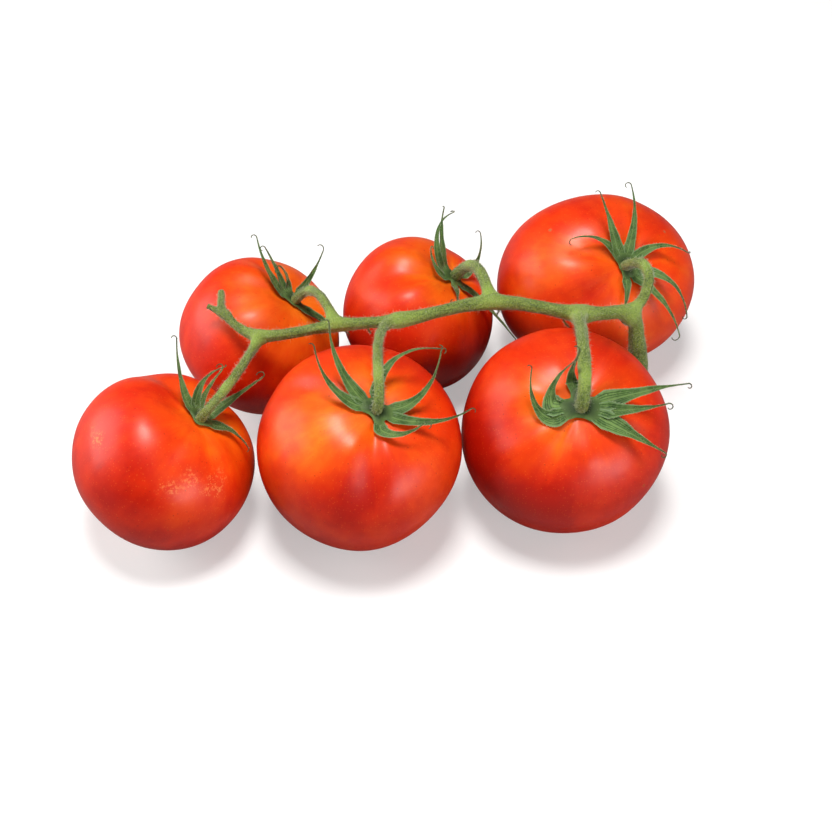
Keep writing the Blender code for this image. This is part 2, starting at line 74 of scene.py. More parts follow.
# ---------------------------------------------------------------- skins
MERIDIANS = 200
RINGS = 120
LUMP_SEED = 40
LUMP_WAVES = 7
LUMP_PITCH = 3.2  # how closely the slow lumps of a skin follow each other
LUMP_HEIGHT = 0.00016
LEAST_WARMTH = 0.12  # how orange the skin is where no warm patch reaches
FURROW_WARMTH = 0.10  # how much more orange it is along a furrow

# ---------------------------------------------------------------- calyces
CALYX_SEED = 70
SEPAL_ROWS = 56
HUB_ROWS = 10  # rows of a sepal inside the calyx's rim
HUB_START = 0.16  # where they begin, as a share of the way out to the rim
CURL_ROWS = 22
SEPAL_SIDES = 18
SEPAL_BODY = 0.00050  # thickness of a sepal at its midrib
SEPAL_RIB = 0.00016  # how far the midrib stands out underneath
TIP_WIDTH = 0.00058
TIP_TURN = 190.0  # how far the dry end of a tip winds, before each sepal's own share
TIP_HEADING = 60.0  # the way that it winds, sideways from straight down
CURL_RADIUS = 0.0015
COLLAR_SIDES = 72
COLLAR_TOP_ROWS = 9
COLLAR_UNDER_ROWS = 6
COLLAR_DOME = 0.0007
COLLAR_ALONG = 0.12  # the share along a sepal that the collar's rim counts as; it puts the collar in the calyx's painted shade

# ---------------------------------------------------------------- truss stem, twigs and stalks
STEM_SEED = 11
TWIG_SEED = 12
SPUR_SEED = 15
STALK_SEED = 20
STEM_STEPS = 34  # rows between two corners of the truss stem
STALK_ROWS = 110
TWIG_STEPS = 26
SPUR_ROWS = 20
STEM_SIDES = 40
STALK_SIDES = 32
TWIG_SIDES = 28
SPUR_SIDES = 10
FIRST_NODE_CORNER = 2  # of the stem's corners, counted from the cut base
FOOT_FLARE = 0.0003  # how much thicker a stalk is at the calyx
END_FLARE = 0.0004  # and where it meets the truss stem
KNUCKLE_SWELL = 0.00022  # how far the knuckle stands out
WAIST_DEPTH = 0.00010  # depth of the thin line round the knuckle
NODE_SPREAD = 0.22  # length of a node's swelling, as a share of the way to the next one
KNOB_SWELL = 0.00045
KNOB_PLACES = (1.94, 2.92)  # counted in corners from the cut base
BASE_POINT = (0.0083, -0.0030, -0.0440)  # cut base, from the first node
BASE_BEND = (0.0043, -0.0035, -0.0150)  # the bend above it, from the first node
FORK_POINT = (-0.0118, 0.0112, 0.0015)  # where the tip forks, from the last node
TWIG_RADIUS = 0.0014
TWIG_ENDS = ((-0.0010, 0.0103, 0.0016), (-0.0060, 0.0030, 0.0020))  # from the fork
SPUR_RADIUS = 0.00036
SPURS = (  # place along the stem counted in corners, length, sideways lean
    (3.22, 0.0078, 0.35),
    (3.94, 0.0062, -0.30),
    (5.55, 0.0050, 0.25),
)
BLEND = 0.0009  # how softly a stalk runs into the truss stem
MOST_BLEND = 0.0013
BLEND_ROUNDS = 4
RIDGE_HEIGHT = 0.000055
CAP_SHARES = (0.985, 0.93, 0.80, 0.45)  # rings of a cut face, as shares of its radius
CAP_RIM = 0.9  # rings beyond this share stand highest
CAP_BULGE = 0.00012
NODE_GLOW = 0.75  # how strongly the stem's nodes are tinted
NODE_GLOW_SPREAD = 0.0050

# ---------------------------------------------------------------- hairs
STEM_HAIR_SEED = 5
SEPAL_HAIR_SEED = 6
STEM_HAIRS_PER_METRE = 20000
SEPAL_EDGE_HAIRS = 160
HAIR_RADIUS = 0.000042
HAIR_ROOT = 0.00008  # how deep a hair starts under the surface

# ---------------------------------------------------------------- floor, light and camera
FLOOR_HALF = 4.0
FLOOR_GLOW = 0.38
ROOM_LIGHT = 0.09
ROOM_SEEN = 0.92
CAMERA_PLACE = (-0.0407, -0.31245, 0.38347)
CAMERA_TILT = 40.0  # from straight down
CAMERA_TURN = -8.3
CAMERA_LENS = 54.56
LAMP_AIM = (0.0, 0.0, 0.035)


@dataclass
class Sepal:
    """One lobe of a calyx. Its tip lies `reach` from the calyx's middle and `rise` above it."""

    bearing: float
    width: float
    reach: float
    rise: float
    swing: float = 0.0
    bow: float = 0.0


@dataclass
class Tomato:
    """One tomato with the calyx and the stalk that hold it, and where its skin is orange."""

    number: int
    radius: float
    upper_ratio: float
    lower_ratio: float
    lean: float
    lean_bearing: float
    dimple: float
    furrows: tuple  # (bearing, depth, half-width)
    calyx_radius: float
    sepals: tuple
    node_shift: float
    node_offset: float
    node_rise: float
    knee: float
    arch: float
    stalk: float = 0.0020  # radius of the stalk
    shoulder: float = 0.0  # how far round from the tomato the stalk leaves the stem, in degrees
    hold: float = 0.45  # how far it keeps that way, as a share of its reach
    oval: float = 0.0
    oval_bearing: float = 0.0
    blush: float = 55.0  # polar angle over which the orange of the shoulders fades
    warmth: float = 0.8  # how orange the shoulders are
    warm_bearing: float = 0.0  # the side on which the orange reaches furthest
    lopsided: float = 0.25
    folds: tuple = ()  # fine relief: (bearing, polar angle, depth inwards, half-width, half-height)


TOMATOES = (
    Tomato(
        number=1, radius=0.0392, upper_ratio=0.80, lower_ratio=0.80,
        lean=37.0, lean_bearing=-73.0, dimple=0.0030,
        furrows=((150.0, 0.0012, 16.0), (60.0, 0.0010, 14.0), (-30.0, 0.0006, 14.0)),
        calyx_radius=0.0062,
        sepals=(
            Sepal(38.0, 0.0045, 0.0245, 0.0035, swing=-28.0, bow=0.0010),
            Sepal(76.0, 0.0049, 0.0295, 0.0060, swing=10.0, bow=0.0015),
            Sepal(114.0, 0.0056, 0.0285, 0.0060, swing=-2.0, bow=0.0015),
            Sepal(128.0, 0.0037, 0.0235, 0.0020, swing=27.0, bow=0.0010),
            Sepal(-92.0, 0.0038, 0.0180, -0.0010, swing=-6.0, bow=0.0010),
            Sepal(-46.0, 0.0043, 0.0330, 0.0010, swing=-8.0, bow=0.0030),
            Sepal(-14.0, 0.0047, 0.0300, 0.0025, swing=-28.0, bow=0.0030),
        ),
        node_shift=-0.0005, node_offset=-0.0075, node_rise=-0.0085, knee=0.0165, arch=0.25,
        stalk=0.0018, shoulder=-24.0, hold=0.60,
        oval=0.07, blush=80.0, warmth=0.43, warm_bearing=-150.0, lopsided=0.2,
        folds=(
            (161.0, 30.0, 0.0008, 13.0, 20.0), (-146.0, 28.0, 0.0005, 11.0, 16.0),
            (178.0, 60.0, -0.0005, 20.0, 24.0), (95.0, 48.0, 0.0009, 16.0, 22.0),
            (-60.0, 55.0, 0.0005, 12.0, 30.0), (10.0, 40.0, 0.0006, 10.0, 20.0),
        ),
    ),
    Tomato(
        number=2, radius=0.0366, upper_ratio=0.84, lower_ratio=0.86,
        lean=24.5, lean_bearing=-86.0, dimple=0.0024,
        furrows=((178.0, 0.0016, 15.0), (-125.0, 0.0010, 14.0), (20.0, 0.0007, 16.0)),
        calyx_radius=0.0092,
        sepals=(
            Sepal(7.0, 0.0074, 0.0355, 0.0090, swing=-4.0, bow=0.0005),
            Sepal(-14.0, 0.0064, 0.0280, 0.0080, swing=6.0, bow=0.0010),
            Sepal(-37.0, 0.0080, 0.0320, 0.0005, swing=1.0, bow=0.0010),
            Sepal(-162.0, 0.0070, 0.0205, 0.0095, swing=-54.0, bow=-0.0030),
            Sepal(173.0, 0.0078, 0.0130, 0.0112, swing=-74.0, bow=-0.0030),
            Sepal(100.0, 0.0052, 0.0150, 0.0150, swing=-6.0),
        ),
        node_shift=0.0092, node_offset=-0.0075, node_rise=-0.0035, knee=0.0080, arch=0.50,
        stalk=0.0021,
        blush=48.0, warmth=0.52, warm_bearing=150.0, lopsided=0.2,
        folds=(
            (-170.0, 37.0, 0.0007, 11.0, 18.0), (-123.0, 31.0, 0.0003, 12.0, 20.0),
            (-87.0, 30.0, -0.0007, 14.0, 10.0), (152.0, 34.0, -0.0006, 12.0, 10.0),
            (108.0, 30.0, -0.0005, 12.0, 10.0), (62.0, 36.0, 0.0008, 9.0, 20.0),
            (-30.0, 45.0, 0.0006, 11.0, 24.0),
        ),
    ),
    Tomato(
        number=3, radius=0.0309, upper_ratio=0.84, lower_ratio=0.84,
        lean=33.5, lean_bearing=-10.0, dimple=0.0026,
        furrows=((-170.0, 0.0022, 15.0), (80.0, 0.0008, 14.0)), calyx_radius=0.0058,
        sepals=(
            Sepal(30.0, 0.0042, 0.0175, 0.0115, swing=36.0, bow=0.0010),
            Sepal(136.0, 0.0047, 0.0235, 0.0120, swing=-22.0, bow=0.0020),
            Sepal(166.0, 0.0047, 0.0230, 0.0110, swing=-66.0, bow=0.0020),
            Sepal(-156.0, 0.0038, 0.0140, 0.0030, swing=-60.0, bow=0.0005),
            Sepal(-98.0, 0.0037, 0.0130, 0.0005, swing=4.0, bow=0.0010),
            Sepal(-42.0, 0.0045, 0.0340, -0.0035, swing=10.0, bow=0.0020),
        ),
        node_shift=0.0222, node_offset=0.0020, node_rise=0.0070, knee=0.0090, arch=0.20,
        oval=0.02, oval_bearing=80.0, blush=58.0, warmth=0.62, warm_bearing=180.0,
        folds=(
            (139.0, 18.0, 0.0010, 16.0, 10.0), (179.0, 58.0, 0.0009, 13.0, 28.0),
            (156.0, 50.0, -0.0008, 12.0, 20.0), (-148.0, 46.0, -0.0010, 20.0, 22.0),
            (-70.0, 45.0, 0.0007, 11.0, 24.0), (20.0, 40.0, 0.0007, 11.0, 22.0),
        ),
    ),
    Tomato(
        number=4, radius=0.0360, upper_ratio=0.86, lower_ratio=0.97,
        lean=19.5, lean_bearing=-56.0, dimple=0.0030,
        furrows=((-98.0, 0.0017, 14.0), (160.0, 0.0013, 15.0), (50.0, 0.0006, 16.0)),
        calyx_radius=0.0068,
        sepals=(
            Sepal(4.0, 0.0050, 0.0255, 0.0140, swing=32.0, bow=-0.0010),
            Sepal(84.0, 0.0047, 0.0265, 0.0120, swing=-44.0, bow=0.0020),
            Sepal(138.0, 0.0054, 0.0310, 0.0115, swing=-18.0, bow=0.0010),
            Sepal(163.0, 0.0050, 0.0280, 0.0095, swing=-25.0),
            Sepal(-84.0, 0.0050, 0.0160, 0.0068, swing=56.0, bow=0.0005),
            Sepal(-26.0, 0.0047, 0.0310, 0.0060, swing=22.0, bow=0.0010),
        ),
        node_shift=0.0198, node_offset=-0.0015, node_rise=-0.0050, knee=0.0105, arch=0.30,
        stalk=0.0016, shoulder=-46.0, hold=0.26,
        blush=60.0, warmth=0.56, warm_bearing=-130.0, lopsided=0.35,
        folds=(
            (-124.0, 29.0, -0.0005, 11.0, 9.0),
            (-82.0, 27.0, -0.0005, 11.0, 9.0), (-104.0, 58.0, 0.0007, 17.0, 24.0),
            (-152.0, 52.0, -0.0005, 22.0, 24.0), (150.0, 56.0, 0.0010, 9.0, 28.0),
            (80.0, 40.0, 0.0008, 11.0, 22.0), (0.0, 46.0, 0.0006, 11.0, 24.0),
        ),
    ),
    Tomato(
        number=5, radius=0.0309, upper_ratio=0.84, lower_ratio=0.84,
        lean=36.5, lean_bearing=-12.0, dimple=0.0026,
        furrows=((175.0, 0.0014, 16.0), (100.0, 0.0007, 15.0)), calyx_radius=0.0058,
        sepals=(
            Sepal(-32.0, 0.0047, 0.0240, 0.0010, swing=14.0, bow=0.0010),
            Sepal(64.0, 0.0040, 0.0185, 0.0130, swing=8.0, bow=0.0010),
            Sepal(118.0, 0.0037, 0.0125, 0.0050, swing=14.0, bow=0.0010),
            Sepal(141.0, 0.0047, 0.0215, 0.0080, swing=2.0, bow=0.0010),
            Sepal(164.0, 0.0047, 0.0260, 0.0090, swing=-20.0, bow=0.0010),
        ),
        node_shift=0.0282, node_offset=0.0010, node_rise=0.0035, knee=0.0082, arch=0.30,
        stalk=0.0016,
        blush=70.0, warmth=0.74, warm_bearing=-30.0,
        folds=(
            (129.0, 34.0, 0.0010, 9.0, 18.0), (153.0, 46.0, -0.0006, 11.0, 14.0),
            (-164.0, 42.0, 0.0009, 12.0, 24.0), (-100.0, 45.0, 0.0006, 11.0, 24.0),
            (30.0, 40.0, 0.0007, 11.0, 22.0),
        ),
    ),
    Tomato(
        number=6, radius=0.0321, upper_ratio=0.84, lower_ratio=0.84,
        lean=36.5, lean_bearing=-1.0, dimple=0.0026,
        furrows=((118.0, 0.0022, 15.0), (-70.0, 0.0006, 15.0)), calyx_radius=0.0058,
        sepals=(
            Sepal(42.0, 0.0045, 0.0250, 0.0130, bow=0.0010),
            Sepal(-6.0, 0.0047, 0.0195, 0.0015, swing=-16.0, bow=0.0010),
            Sepal(88.0, 0.0031, 0.0155, 0.0110, swing=-10.0),
            Sepal(106.0, 0.0040, 0.0200, 0.0090, swing=-32.0, bow=0.0010),
            Sepal(130.0, 0.0049, 0.0255, 0.0135, swing=-2.0, bow=-0.0010),
        ),
        node_shift=0.0388, node_offset=0.0035, node_rise=-0.0033, knee=0.0120, arch=0.0,
        stalk=0.0015,
        blush=55.0, warmth=0.58, warm_bearing=0.0, lopsided=0.3,
        folds=(
            (-168.0, 42.0, -0.0009, 24.0, 16.0), (150.0, 22.0, 0.0016, 22.0, 12.0),
            (120.0, 46.0, 0.0008, 12.0, 22.0),
            (-120.0, 36.0, 0.0006, 12.0, 20.0), (-30.0, 42.0, 0.0007, 11.0, 22.0),
            (50.0, 44.0, 0.0008, 11.0, 22.0),
        ),
    ),
)


# The cooler patches that lie on inward folds, such as tomato 1's at bearing -149, tomato 4's at -106
# and tomato 6's at 143, are painted shade in those creases; the others are the skin's own tones.
TONE_AND_CREASE_SHADE_PATCHES = (  # tomato, polar angle, bearing, half-width, change of warmth
    (1, 69.0, 177.0, 22.0, 0.16),
    (1, 50.0, 105.0, 16.0, -0.12),
    (1, 31.0, -149.0, 13.0, -0.12),
    (2, 69.0, -168.0, 20.0, -0.22),
    (2, 37.0, 137.0, 14.0, 0.16),
    (2, 24.0, -111.0, 15.0, 0.05),
    (2, 66.0, -120.0, 26.0, -0.22),
    (3, 48.0, 160.0, 14.0, 0.12),
    (3, 60.0, -170.0, 15.0, -0.15),
    (4, 56.0, -106.0, 19.0, -0.50),
    (4, 40.0, -85.0, 12.0, -0.12),
    (4, 53.0, -155.0, 16.0, 0.22),
    (4, 26.0, 93.0, 16.0, 0.16),
    (4, 72.0, -130.0, 18.0, -0.12),
    (5, 52.0, 165.0, 16.0, 0.18),
    (6, 28.0, 143.0, 12.0, -0.25),
    (6, 22.0, 10.0, 16.0, 0.30),
)
RUSSET_PATCHES = (  # tomato, polar angle, bearing, half-width
    (6, 51.0, -69.0, 12.0),
    (6, 60.0, -104.0, 8.0),
    (6, 47.0, -92.0, 7.0),
    (6, 75.0, -166.0, 9.0),
    (3, 120.0, 60.0, 14.0),
    (1, 95.0, 70.0, 12.0),
)
SCARS = (  # tomato, polar angle, bearing, size
    (1, 57.0, 147.0, 0.0009),
    (1, 43.0, 36.0, 0.0008),
    (2, 68.0, -50.0, 0.0010),
    (3, 100.0, 80.0, 0.0009),
    (5, 96.0, 100.0, 0.0010),
)
SKIN_TONES = (  # warmth, colour
    (0.00, (0.50, 0.0085, 0.0008)),
    (0.22, (0.68, 0.0220, 0.0010)),
    (0.48, (0.83, 0.0560, 0.0014)),
    (0.74, (0.92, 0.1300, 0.0030)),
    (1.00, (0.95, 0.2500, 0.0090)),
)


# ---------------------------------------------------------------- small helpers
def unit(vectors):
    """Each vector divided by its length."""
    return vectors / np.maximum(np.linalg.norm(vectors, axis=-1, keepdims=True), 1e-12)


def smooth(value, low, high):
    """0 below `low`, 1 above `high`, and an S-shaped rise between them."""
    share = np.clip((value - low) / (high - low), 0.0, 1.0)
    return share * share * (3.0 - 2.0 * share)


def around(bearing, other):
    """Signed difference of bearings, from -180 to 180."""
    return (bearing - other + 180.0) % 360.0 - 180.0


def bump(value, middle, spread):
    """A bell curve of height 1."""
    return np.exp(-(((value - middle) / spread) ** 2))


def spherical(polar, bearing):
    """Unit vectors at a polar angle from +Z and a bearing from +X."""
    theta = np.radians(polar)
    phi = np.radians(bearing)
    flat = np.sin(theta)
    return np.stack([flat * np.cos(phi), flat * np.sin(phi), np.cos(theta)], axis=-1)


def angle_from(directions, polar, bearing):
    """Angles between unit directions and the one at a polar angle and a bearing."""
    towards = directions @ spherical(polar, bearing)
    return np.degrees(np.arccos(np.clip(towards, -1.0, 1.0)))


def run_along(path):
    """Distance along a path at each of its points."""
    steps = np.linalg.norm(np.diff(path, axis=0), axis=1)
    return np.concatenate([[0.0], np.cumsum(steps)])


def through(corners, steps):
    """A smooth path through the corners: each stretch is the cubic that four neighbours fix."""
    corners = np.asarray(corners, float)
    ends = np.vstack([2 * corners[0] - corners[1], corners, 2 * corners[-1] - corners[-2]])
    t = np.linspace(0.0, 1.0, steps + 1)[1:, None]
    stretches = [corners[:1]]
    for p, q, r, s in zip(ends, ends[1:], ends[2:], ends[3:]):
        stretch = 2 * q + (r - p) * t + (2 * p - 5 * q + 4 * r - s) * t**2
        stretches.append(0.5 * (stretch + (3 * q - p - 3 * r + s) * t**3))
    return np.vstack(stretches)


def bezier(a, b, c, d, steps):
    """The cubic from a to d that leaves towards b and arrives from c."""
    t = np.linspace(0.0, 1.0, steps + 1)[:, None]
    s = 1.0 - t
    return s**3 * a + 3 * s * s * t * b + 3 * s * t * t * c + t**3 * d


def carried_frames(path):
    """Directions along and across a path. Each across is the one before it with its part along the
    path taken away, so that the frame turns as little as possible."""
    along = unit(np.gradient(path, axis=0))
    across = np.empty_like(along)
    start = np.cross(along[0], (0.0, 0.0, 1.0))
    if np.linalg.norm(start) < 0.2:
        start = np.cross(along[0], (0.0, 1.0, 0.0))
    across[0] = unit(start)
    for row in range(1, len(path)):
        across[row] = unit(across[row - 1] - (across[row - 1] @ along[row]) * along[row])
    return along, across, np.cross(along, across)


def ring_faces(rows, sides, first=0):
    """Quads between neighbouring rings of `sides` points, each ring closed on itself."""
    row = np.arange(rows - 1)[:, None] * sides
    side = np.arange(sides)[None, :]
    after = (side + 1) % sides
    quads = np.stack([row + side, row + after, row + sides + after, row + sides + side], axis=-1)
    return quads.reshape(-1, 4) + first


def end_fans(rows, sides, start_point, end_point, first=0):
    """Triangles from the first and the last ring to one point each."""
    side = np.arange(sides)
    after = (side + 1) % sides
    last = (rows - 1) * sides
    start = np.stack([after + first, side + first, np.full(sides, start_point)], axis=-1)
    end = np.stack([last + side + first, last + after + first, np.full(sides, end_point)], axis=-1)
    return np.vstack([start, end])


def closed_rings(grid, first=0):
    """(vertices, quads, triangles) of rings of points, shape (rows, sides, 3), closed at both ends."""
    rows, sides = grid.shape[:2]
    vertices = np.vstack([grid.reshape(-1, 3), grid[0].mean(axis=0), grid[-1].mean(axis=0)])
    count = rows * sides
    fans = end_fans(rows, sides, count + first, count + 1 + first, first)
    return vertices, ring_faces(rows, sides, first), fans


def with_ends(values):
    """Values of shape (rows, sides, ...) as one per vertex of closed_rings."""
    flat = values.reshape(-1, *values.shape[2:])
    return np.concatenate([flat, values[:1].mean(axis=1), values[-1:].mean(axis=1)])


class Shape:
    """Closed bodies gathered into one mesh, with named values at each vertex."""

    def __init__(self):
        self.vertices = []
        self.quads = []
        self.triangles = []
        self.values = {}
        self.count = 0

    def add(self, grid, **values):
        """Adds a closed grid of rings. A value is a number, or an array that spreads over the grid."""
        vertices, quads, triangles = closed_rings(grid, self.count)
        self.vertices.append(vertices)
        self.quads.append(quads)
        self.triangles.append(triangles)
        self.count += len(vertices)
        for name, value in values.items():
            full = np.broadcast_to(value, grid.shape[:2] + np.shape(value)[2:])
            self.values.setdefault(name, []).append(with_ends(full))

    def finished(self, name, finish):
        """The mesh object of all bodies added, at the origin."""
        return mesh_piece(
            name,
            np.vstack(self.vertices),
            np.vstack(self.quads),
            np.vstack(self.triangles),
            {key: np.concatenate(parts) for key, parts in self.values.items()},
            finish,
        )


def mesh_piece(name, vertices, quads, triangles, values, finish):
    """A smooth-shaded mesh object from whole arrays."""
    mesh = bpy.data.meshes.new(name)
    corners = np.concatenate([quads.ravel(), triangles.ravel()]).astype(np.int32)
    sizes = np.concatenate([np.full(len(quads), 4), np.full(len(triangles), 3)])
    starts = np.concatenate([[0], np.cumsum(sizes)[:-1]]).astype(np.int32)
    mesh.vertices.add(len(vertices))
    mesh.vertices.foreach_set("co", vertices.astype(np.float32).ravel())
    mesh.loops.add(len(corners))
    mesh.loops.foreach_set("vertex_index", corners)
    mesh.polygons.add(len(sizes))
    mesh.polygons.foreach_set("loop_start", starts)
    mesh.polygons.foreach_set("use_smooth", np.ones(len(sizes), bool))
    for key, value in values.items():
        vector = value.ndim == 2
        made = mesh.attributes.new(key, "FLOAT_VECTOR" if vector else "FLOAT", "POINT")
        made.data.foreach_set("vector" if vector else "value", value.astype(np.float32).ravel())
    mesh.update(calc_edges=True)
    mesh.validate()
    mesh.materials.append(finish)
    piece = bpy.data.objects.new(name, mesh)
    bpy.context.scene.collection.objects.link(piece)
    return piece


# ---------------------------------------------------------------- tomatoes
def smooth_skin(tomato, polar, bearing):
    """Distance from a tomato's middle to its skin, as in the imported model: a squared ellipse, less
    a dimple at the stem end, a dent at the blossom end and a few furrows down the shoulders."""
    theta = np.radians(polar)
    ratio = np.where(polar < 90.0, tomato.upper_ratio, tomato.lower_ratio)
    wide = 1.0 + tomato.oval * np.cos(2 * np.radians(bearing - tomato.oval_bearing))
    wide = tomato.radius * wide / (1.0 + tomato.oval)
    total = (np.abs(np.sin(theta)) / wide) ** SHOULDER_POWER
    total = total + (np.abs(np.cos(theta)) / (tomato.radius * ratio)) ** SHOULDER_POWER
    radius = total ** (-1.0 / SHOULDER_POWER)
    radius = radius - tomato.dimple * bump(polar, 0.0, DIMPLE_SPREAD)
    radius = radius - BLOSSOM_DENT * bump(polar, 180.0, BLOSSOM_SPREAD)
    for furrow_bearing, depth, width in tomato.furrows:
        fade = bump(polar, FURROW_PEAK, FURROW_SPREAD) * smooth(polar, 0.0, 18.0)
        radius = radius - depth * fade * bump(around(bearing, furrow_bearing), 0.0, width)
    return radius


def skin_radius(tomato, polar, bearing):
    """The smooth skin with its fine folds, which are bell curves in bearing and polar angle, and
    slow lumps, which are a few seeded waves over the sphere of directions."""
    draw = np.random.default_rng(LUMP_SEED + tomato.number)
    directions = spherical(polar, bearing)
    lumps = 0.0
    for _ in range(LUMP_WAVES):
        heading = draw.normal(size=3) * LUMP_PITCH
        lumps = lumps + np.cos(directions @ heading + draw.uniform(0.0, math.tau))
    fade = smooth(polar, 4.0, 26.0)
    radius = smooth_skin(tomato, polar, bearing) + LUMP_HEIGHT * lumps * fade
    for fold_bearing, fold_polar, depth, wide, tall in tomato.folds:
        near = bump(around(bearing, fold_bearing), 0.0, wide) * bump(polar, fold_polar, tall)
        radius = radius - depth * near * smooth(polar, 0.0, 16.0)
    return radius


def turned(tomato):
    """Rotation that leans a tomato's axis away from upright."""
    turn = math.radians(tomato.lean_bearing)
    hinge = Vector((-math.sin(turn), math.cos(turn), 0.0))
    return np.array(Matrix.Rotation(math.radians(tomato.lean), 3, hinge))


def packed_points(tomato):
    """The smooth skin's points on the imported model's own grid."""
    polar = np.linspace(0.0, 180.0, PACKED_RINGS + 1)[:, None]
    bearing = np.arange(PACKED_MERIDIANS)[None, :] * 360.0 / PACKED_MERIDIANS
    polar, bearing = np.broadcast_arrays(polar, bearing)
    points = smooth_skin(tomato, polar, bearing)[..., None] * spherical(polar, bearing)
    return points.reshape(-1, 3)


@dataclass
class Place:
    """Where one tomato is: its turn, its middle and its highest point."""

    turn: np.ndarray
    middle: np.ndarray
    top: float

    def out(self, points):
        """Points of the tomato's own frame in the row frame."""
        return points @ self.turn.T + self.middle


def find_place(tomato):
    """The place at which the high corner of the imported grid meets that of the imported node's box."""
    turn = turned(tomato)
    high = np.array(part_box(f"tomato_{tomato.number}")[1])
    reach = (packed_points(tomato) @ turn.T).max(axis=0)
    return Place(turn, high - reach, high[2])


def warmth_and_crease_shade(tomato, polar, bearing):
    """How orange the skin is: a bell curve down from the stem end that reaches further on one
    side, a little more along each furrow, and bell-shaped patches that are warmer or cooler.
    The cooler patches that lie in creases darken them as painted shade."""
    side = 1.0 + tomato.lopsided * np.cos(np.radians(bearing - tomato.warm_bearing))
    warm = LEAST_WARMTH + tomato.warmth * bump(polar, 0.0, tomato.blush * side)
    for furrow_bearing, _, width in tomato.furrows:
        near = bump(around(bearing, furrow_bearing), 0.0, width * 0.7)
        warm = warm + FURROW_WARMTH * near * bump(polar, 25.0, 18.0)
    for number, patch_polar, patch_bearing, spread, change in TONE_AND_CREASE_SHADE_PATCHES:
        if number == tomato.number:
            apart = angle_from(spherical(polar, bearing), patch_polar, patch_bearing)
            warm = warm + change * bump(apart, 0.0, spread)
    return warm


def russet_mask(tomato, directions):
    """Bell-shaped patches about a few directions, where the skin is finely russeted."""
    mask = np.zeros(directions.shape[:2])
    for number, polar, bearing, spread in RUSSET_PATCHES:
        if number == tomato.number:
            apart = angle_from(directions, polar, bearing)
            mask = np.maximum(mask, bump(apart, 0.0, spread))
    return mask


def make_tomato(tomato, place, finish):
    """Rings of skin points from the blossom end to the stem end, pressed flat where they rest."""
    polar = (np.arange(RINGS - 1, 0, -1) * 180.0 / RINGS)[:, None]
    bearing = np.arange(MERIDIANS)[None, :] * 360.0 / MERIDIANS
    polar, bearing = np.broadcast_arrays(polar, bearing)
    directions = spherical(polar, bearing)
    points = place.out(skin_radius(tomato, polar, bearing)[..., None] * directions)
    points[..., 2] = np.maximum(points[..., 2], 0.0)
    turn = np.radians(bearing)
    shape = Shape()
    shape.add(
        points,
        streak=np.stack([np.cos(turn), np.sin(turn), polar / 180.0], axis=-1),
        warmth=warmth_and_crease_shade(tomato, polar, bearing),
        russet=russet_mask(tomato, directions),
    )
    piece = shape.finished(f"skin_{tomato.number}", finish)
    finish_piece(piece, "tomato_skin", f"tomato_{tomato.number}")


def finish_piece(piece, slot, *nodes):
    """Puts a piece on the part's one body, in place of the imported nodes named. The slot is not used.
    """
    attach(piece, "root")
    if nodes:
        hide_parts(*nodes)


# ---------------------------------------------------------------- calyces
def calyx_level(tomato):
    """Height of a calyx's middle surface over the tomato's middle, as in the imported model."""
    dimple_bottom = float(smooth_skin(tomato, np.float64(0.0), np.float64(0.0)))
    return dimple_bottom + SKIN_GAP + CALYX_SEAT + CALYX_THICKNESS / 2


def off_skin(tomato, points, gap):
    """The points, each moved straight out from the tomato's middle until it clears the skin."""
    distance = np.linalg.norm(points, axis=-1)
    polar = np.degrees(np.arccos(np.clip(points[..., 2] / distance, -1.0, 1.0)))
    bearing = np.degrees(np.arctan2(points[..., 1], points[..., 0]))
    least = skin_radius(tomato, polar, bearing) + gap
    return points * np.maximum(1.0, least / distance)[..., None]


